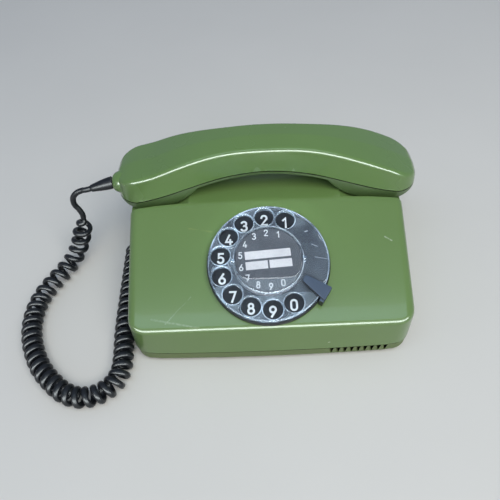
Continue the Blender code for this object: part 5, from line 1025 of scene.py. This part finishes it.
def lower_ring(x, inset, overrun):
    """Section of the lower moulding, from its seam round the underside."""
    half, seam = half_y(x, inset), seam_of(x) - SEAM_BELOW + overrun
    bottom = bottom_of(x) + inset
    draft = BULGE * min((seam - bottom) / (seam_of(CUP_FLAT) - CUP_Z), 1.0)
    belly = BELLY * (1.0 - 0.8 * within((abs(x) - GRIP_END) / 0.044))
    corners = [(-half, seam), (-half + draft, bottom), (0.0, bottom - belly),
               (half - draft, bottom), (half, seam)]
    line = fillet(corners, (0.0028, 0.0112, 0.0028), (6, 3, 6))
    return [Vector((x + SHIFT, MID_Y + y, z)) for y, z in line]


def both_ways(places):
    """Places along one half, mirrored to the other."""
    return [-place for place in reversed(places) if place > 0.0] + places


ROUNDING_FROM, SHELL_WALL, OVERRUN = 0.087, 0.0024, 0.006
ends = [LENGTH - PLAN_ROUND * (1.0 - math.sin(QUARTER * k / 11)) for k in range(12)]
tips = [LENGTH - EDGE_ROUND * (1.0 - math.sin(QUARTER * k / 6)) for k in range(1, 6)]
grip = [ROUNDING_FROM * k / 22 for k in range(22)]
places = sorted(set(round(place, 6) for place in grip + ends + tips))
upper = lofted("green_handset_top", [upper_ring(x, 0.0, 0.0) for x in both_ways(places)])
inner = [ROUNDING_FROM * k / 12 for k in range(12)] + [0.09, 0.094, 0.0975, 0.0995]
change(upper, lofted("room", [upper_ring(x, SHELL_WALL, OVERRUN) for x in both_ways(inner)]))
collar_stand = Matrix.Translation((SHIFT - LENGTH, relief_root.y, relief_root.z))
collar_stand = collar_stand @ Matrix.Rotation(-QUARTER, 4, "Y")
collar = [(0.0046, 0.0024), (0.0055, 0.0020), (0.0062, 0.0012), (0.0068, 0.0002),
          (0.0074, -0.0011), (0.0079, -0.0026), (0.0082, -0.0042), (0.0084, -0.006)]
change(upper, turned("collar", [(0.0, 0.0024)] + collar + [(0.0, -0.006)], 48,
                     collar_stand), "UNION")
soften(upper, 0.0002)
handset_green = aged_plastic("handset green", (0.124, 0.222, 0.061), 0.26, coat=0.5, haze=0.06)
paint_seam_shade(upper, handset_green, lambda x: seam_of(x - SHIFT), -1.0)
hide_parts("handset_upper_shell")
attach(upper, "handset")
lower_places = []
for side in (-1.0, 1.0):
    start, flat = CUP_START - side * CUP_BIAS, CUP_FLAT - side * CUP_BIAS
    swell = [start, start + 0.0002] + [start + (flat - start) * k / 16 for k in range(1, 17)]
    run = [place for place in places if not start - 0.001 < place < flat + 0.001] + swell
    lower_places += [side * place for place in run]
lower_places = sorted(set(round(place, 6) for place in lower_places))
lower = lofted("green_handset_base", [lower_ring(x, 0.0, 0.0) for x in lower_places])
ROOM_SHARES = (0.18, 0.284, 0.406, 0.529, 0.651, 0.773, 0.861, 0.922)
GRILLE_X, GRILLE_CIRCLE, GRILLE_HOLE = 0.0765, 0.0046, 0.0011
for side in (-1.0, 1.0):
    start = CUP_START - side * CUP_BIAS
    reaches = [start + (LENGTH - start) * share for share in ROOM_SHARES][::int(side)]
    change(lower, lofted("cup_room", [lower_ring(side * x, SHELL_WALL, OVERRUN) for x in reaches]))
    for x, y in [(0.0, 0.0)] + circle(GRILLE_CIRCLE, 5):
        change(lower, pillar("grille", GRILLE_HOLE, CUP_Z - 0.006, CUP_Z + 0.006,
                             side * GRILLE_X + CUP_MIDDLE + x, MID_Y + y, 16))
soften(lower, 0.0002)
# The lower moulding is the upper one's green, darkened as painted shade for the shadow under the
# grip and the cups.
painted_shade_base_green = aged_plastic("handset base green in painted shade", (0.078, 0.138, 0.039), 0.4, coat=0.25,
                           haze=0.08)
paint_seam_shade(lower, painted_shade_base_green, lambda x: seam_of(x - SHIFT), 1.0)
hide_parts("handset_lower_shell")
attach(lower, "handset")


# Capsules: spun aluminium cans of the microphone and the earpiece, seated behind the
# grilles in the handset's two cups.
capsule_metal = surface("spun aluminium", (0.6, 0.61, 0.62), 0.34, metallic=1.0, drift=0.08,
                        patch=100.0, grain=2400.0, relief=0.06)
dress(capsule_metal, "transmitter_capsule", "receiver_capsule")


# Hook lever: ivory moulded rocker on a steel rod between two bent steel cheeks. Its two
# pins come up through the wells and carry the handset's weight.
inner_plastic = surface("ivory moulding", (0.6, 0.57, 0.48), 0.48, drift=0.06, patch=70.0,
                        relief=0.05)
dress(inner_plastic, "hook_lever")
dress(zinc_steel, "hook_shaft", "hook_cheek_left", "hook_cheek_right")


# Ringer: two plated steel gongs on posts, a yoke with two taped coils, and a clapper that
# swings between the gongs. An ivory knob under the tray sets how loud they ring.
bell_steel = surface("bell steel", (0.64, 0.6, 0.48), 0.24, metallic=1.0, drift=0.08,
                     grain=2000.0, relief=0.03)
coil_tape = surface("coil tape", (0.45, 0.2, 0.07), 0.5, drift=0.15, patch=200.0, grain=900.0,
                    relief=0.3, stretch=(1.0, 6.0, 1.0))
dress(bell_steel, "gong_left", "gong_right")
dress(zinc_steel, "ringer_yoke", "gong_post_left", "gong_post_right", "clapper")
dress(coil_tape, "ringer_coil_left", "ringer_coil_right")
dress(inner_plastic, "volume_knob")


# Speech circuit: brown laminated board on two ivory posts, with its laminated coil and a
# dipped capacitor lying on it.
phenolic = surface("brown laminate", (0.25, 0.13, 0.05), 0.55, drift=0.2, patch=150.0,
                   grain=1600.0, relief=0.1, stretch=(1.0, 4.0, 1.0))
iron_core = surface("laminated iron", (0.16, 0.15, 0.15), 0.45, metallic=0.7, drift=0.2,
                    patch=200.0, grain=1500.0, relief=0.3, stretch=(6.0, 1.0, 1.0))
dress(phenolic, "circuit_board")
dress(inner_plastic, "board_post_1", "board_post_2")
dress(iron_core, "speech_coil")
dress(coil_tape, "capacitor")


# Studio: a plain pale floor, a soft main panel above and in front, a low panel that draws
# the moulded edges, and even light. Overhead, a dimmer panel and a thin rail are there for
# the clear cap and the dial to mirror.
floor = block("floor", (-4.0, -4.0, -0.002), (4.0, 4.0, 0.0))
floor.data.materials.append(surface("pale floor", (0.66, 0.645, 0.62), 0.9, drift=0.015,
                                    patch=6.0, grain=600.0, relief=0.02, shine=0.05))


def panel(name, place, target, wide, high, brightness, colour, diffuse=True, glossy=True):
    """Soft lamp that faces its target, and that clear pieces don't show."""
    lamp = bpy.data.lights.new(name, "AREA")
    lamp.shape = "RECTANGLE"
    lamp.size = wide
    lamp.size_y = high
    lamp.energy = brightness * math.pi * wide * high
    lamp.color = colour
    item = bpy.data.objects.new(name, lamp)
    scene.collection.objects.link(item)
    item.location = place
    item.rotation_euler = (Vector(target) - Vector(place)).to_track_quat("-Z", "Y").to_euler()
    item.visible_transmission = False
    item.visible_diffuse = diffuse
    item.visible_glossy = glossy


panel("main_panel", (0.3, -0.75, 1.2), (0.0, 0.0, 0.04), 1.1, 0.8, 5.4, (1.0, 0.98, 0.9),
      glossy=False)
panel("edge_panel", (0.0, -1.25, 0.56), (0.0, -0.05, 0.05), 3.4, 0.56, 17.0, (0.93, 1.0, 1.0),
      diffuse=False)
panel("overhead_panel", (-0.1, -0.305, 1.2), (-0.1, -0.305, 0.0), 1.2, 0.22, 2.9,
      (0.62, 0.84, 1.0))
panel("overhead_rail", (-0.1, -0.19, 1.2), (-0.1, -0.19, 0.0), 1.2, 0.012, 6.0,
      (0.9, 0.97, 1.0), diffuse=False)
world = bpy.data.worlds.new("even light")
scene.world = world
world.use_nodes = True
sky = world.node_tree.nodes["Background"]
sky.inputs["Color"].default_value = (0.68, 0.79, 1.0, 1.0)
sky.inputs["Strength"].default_value = 0.38
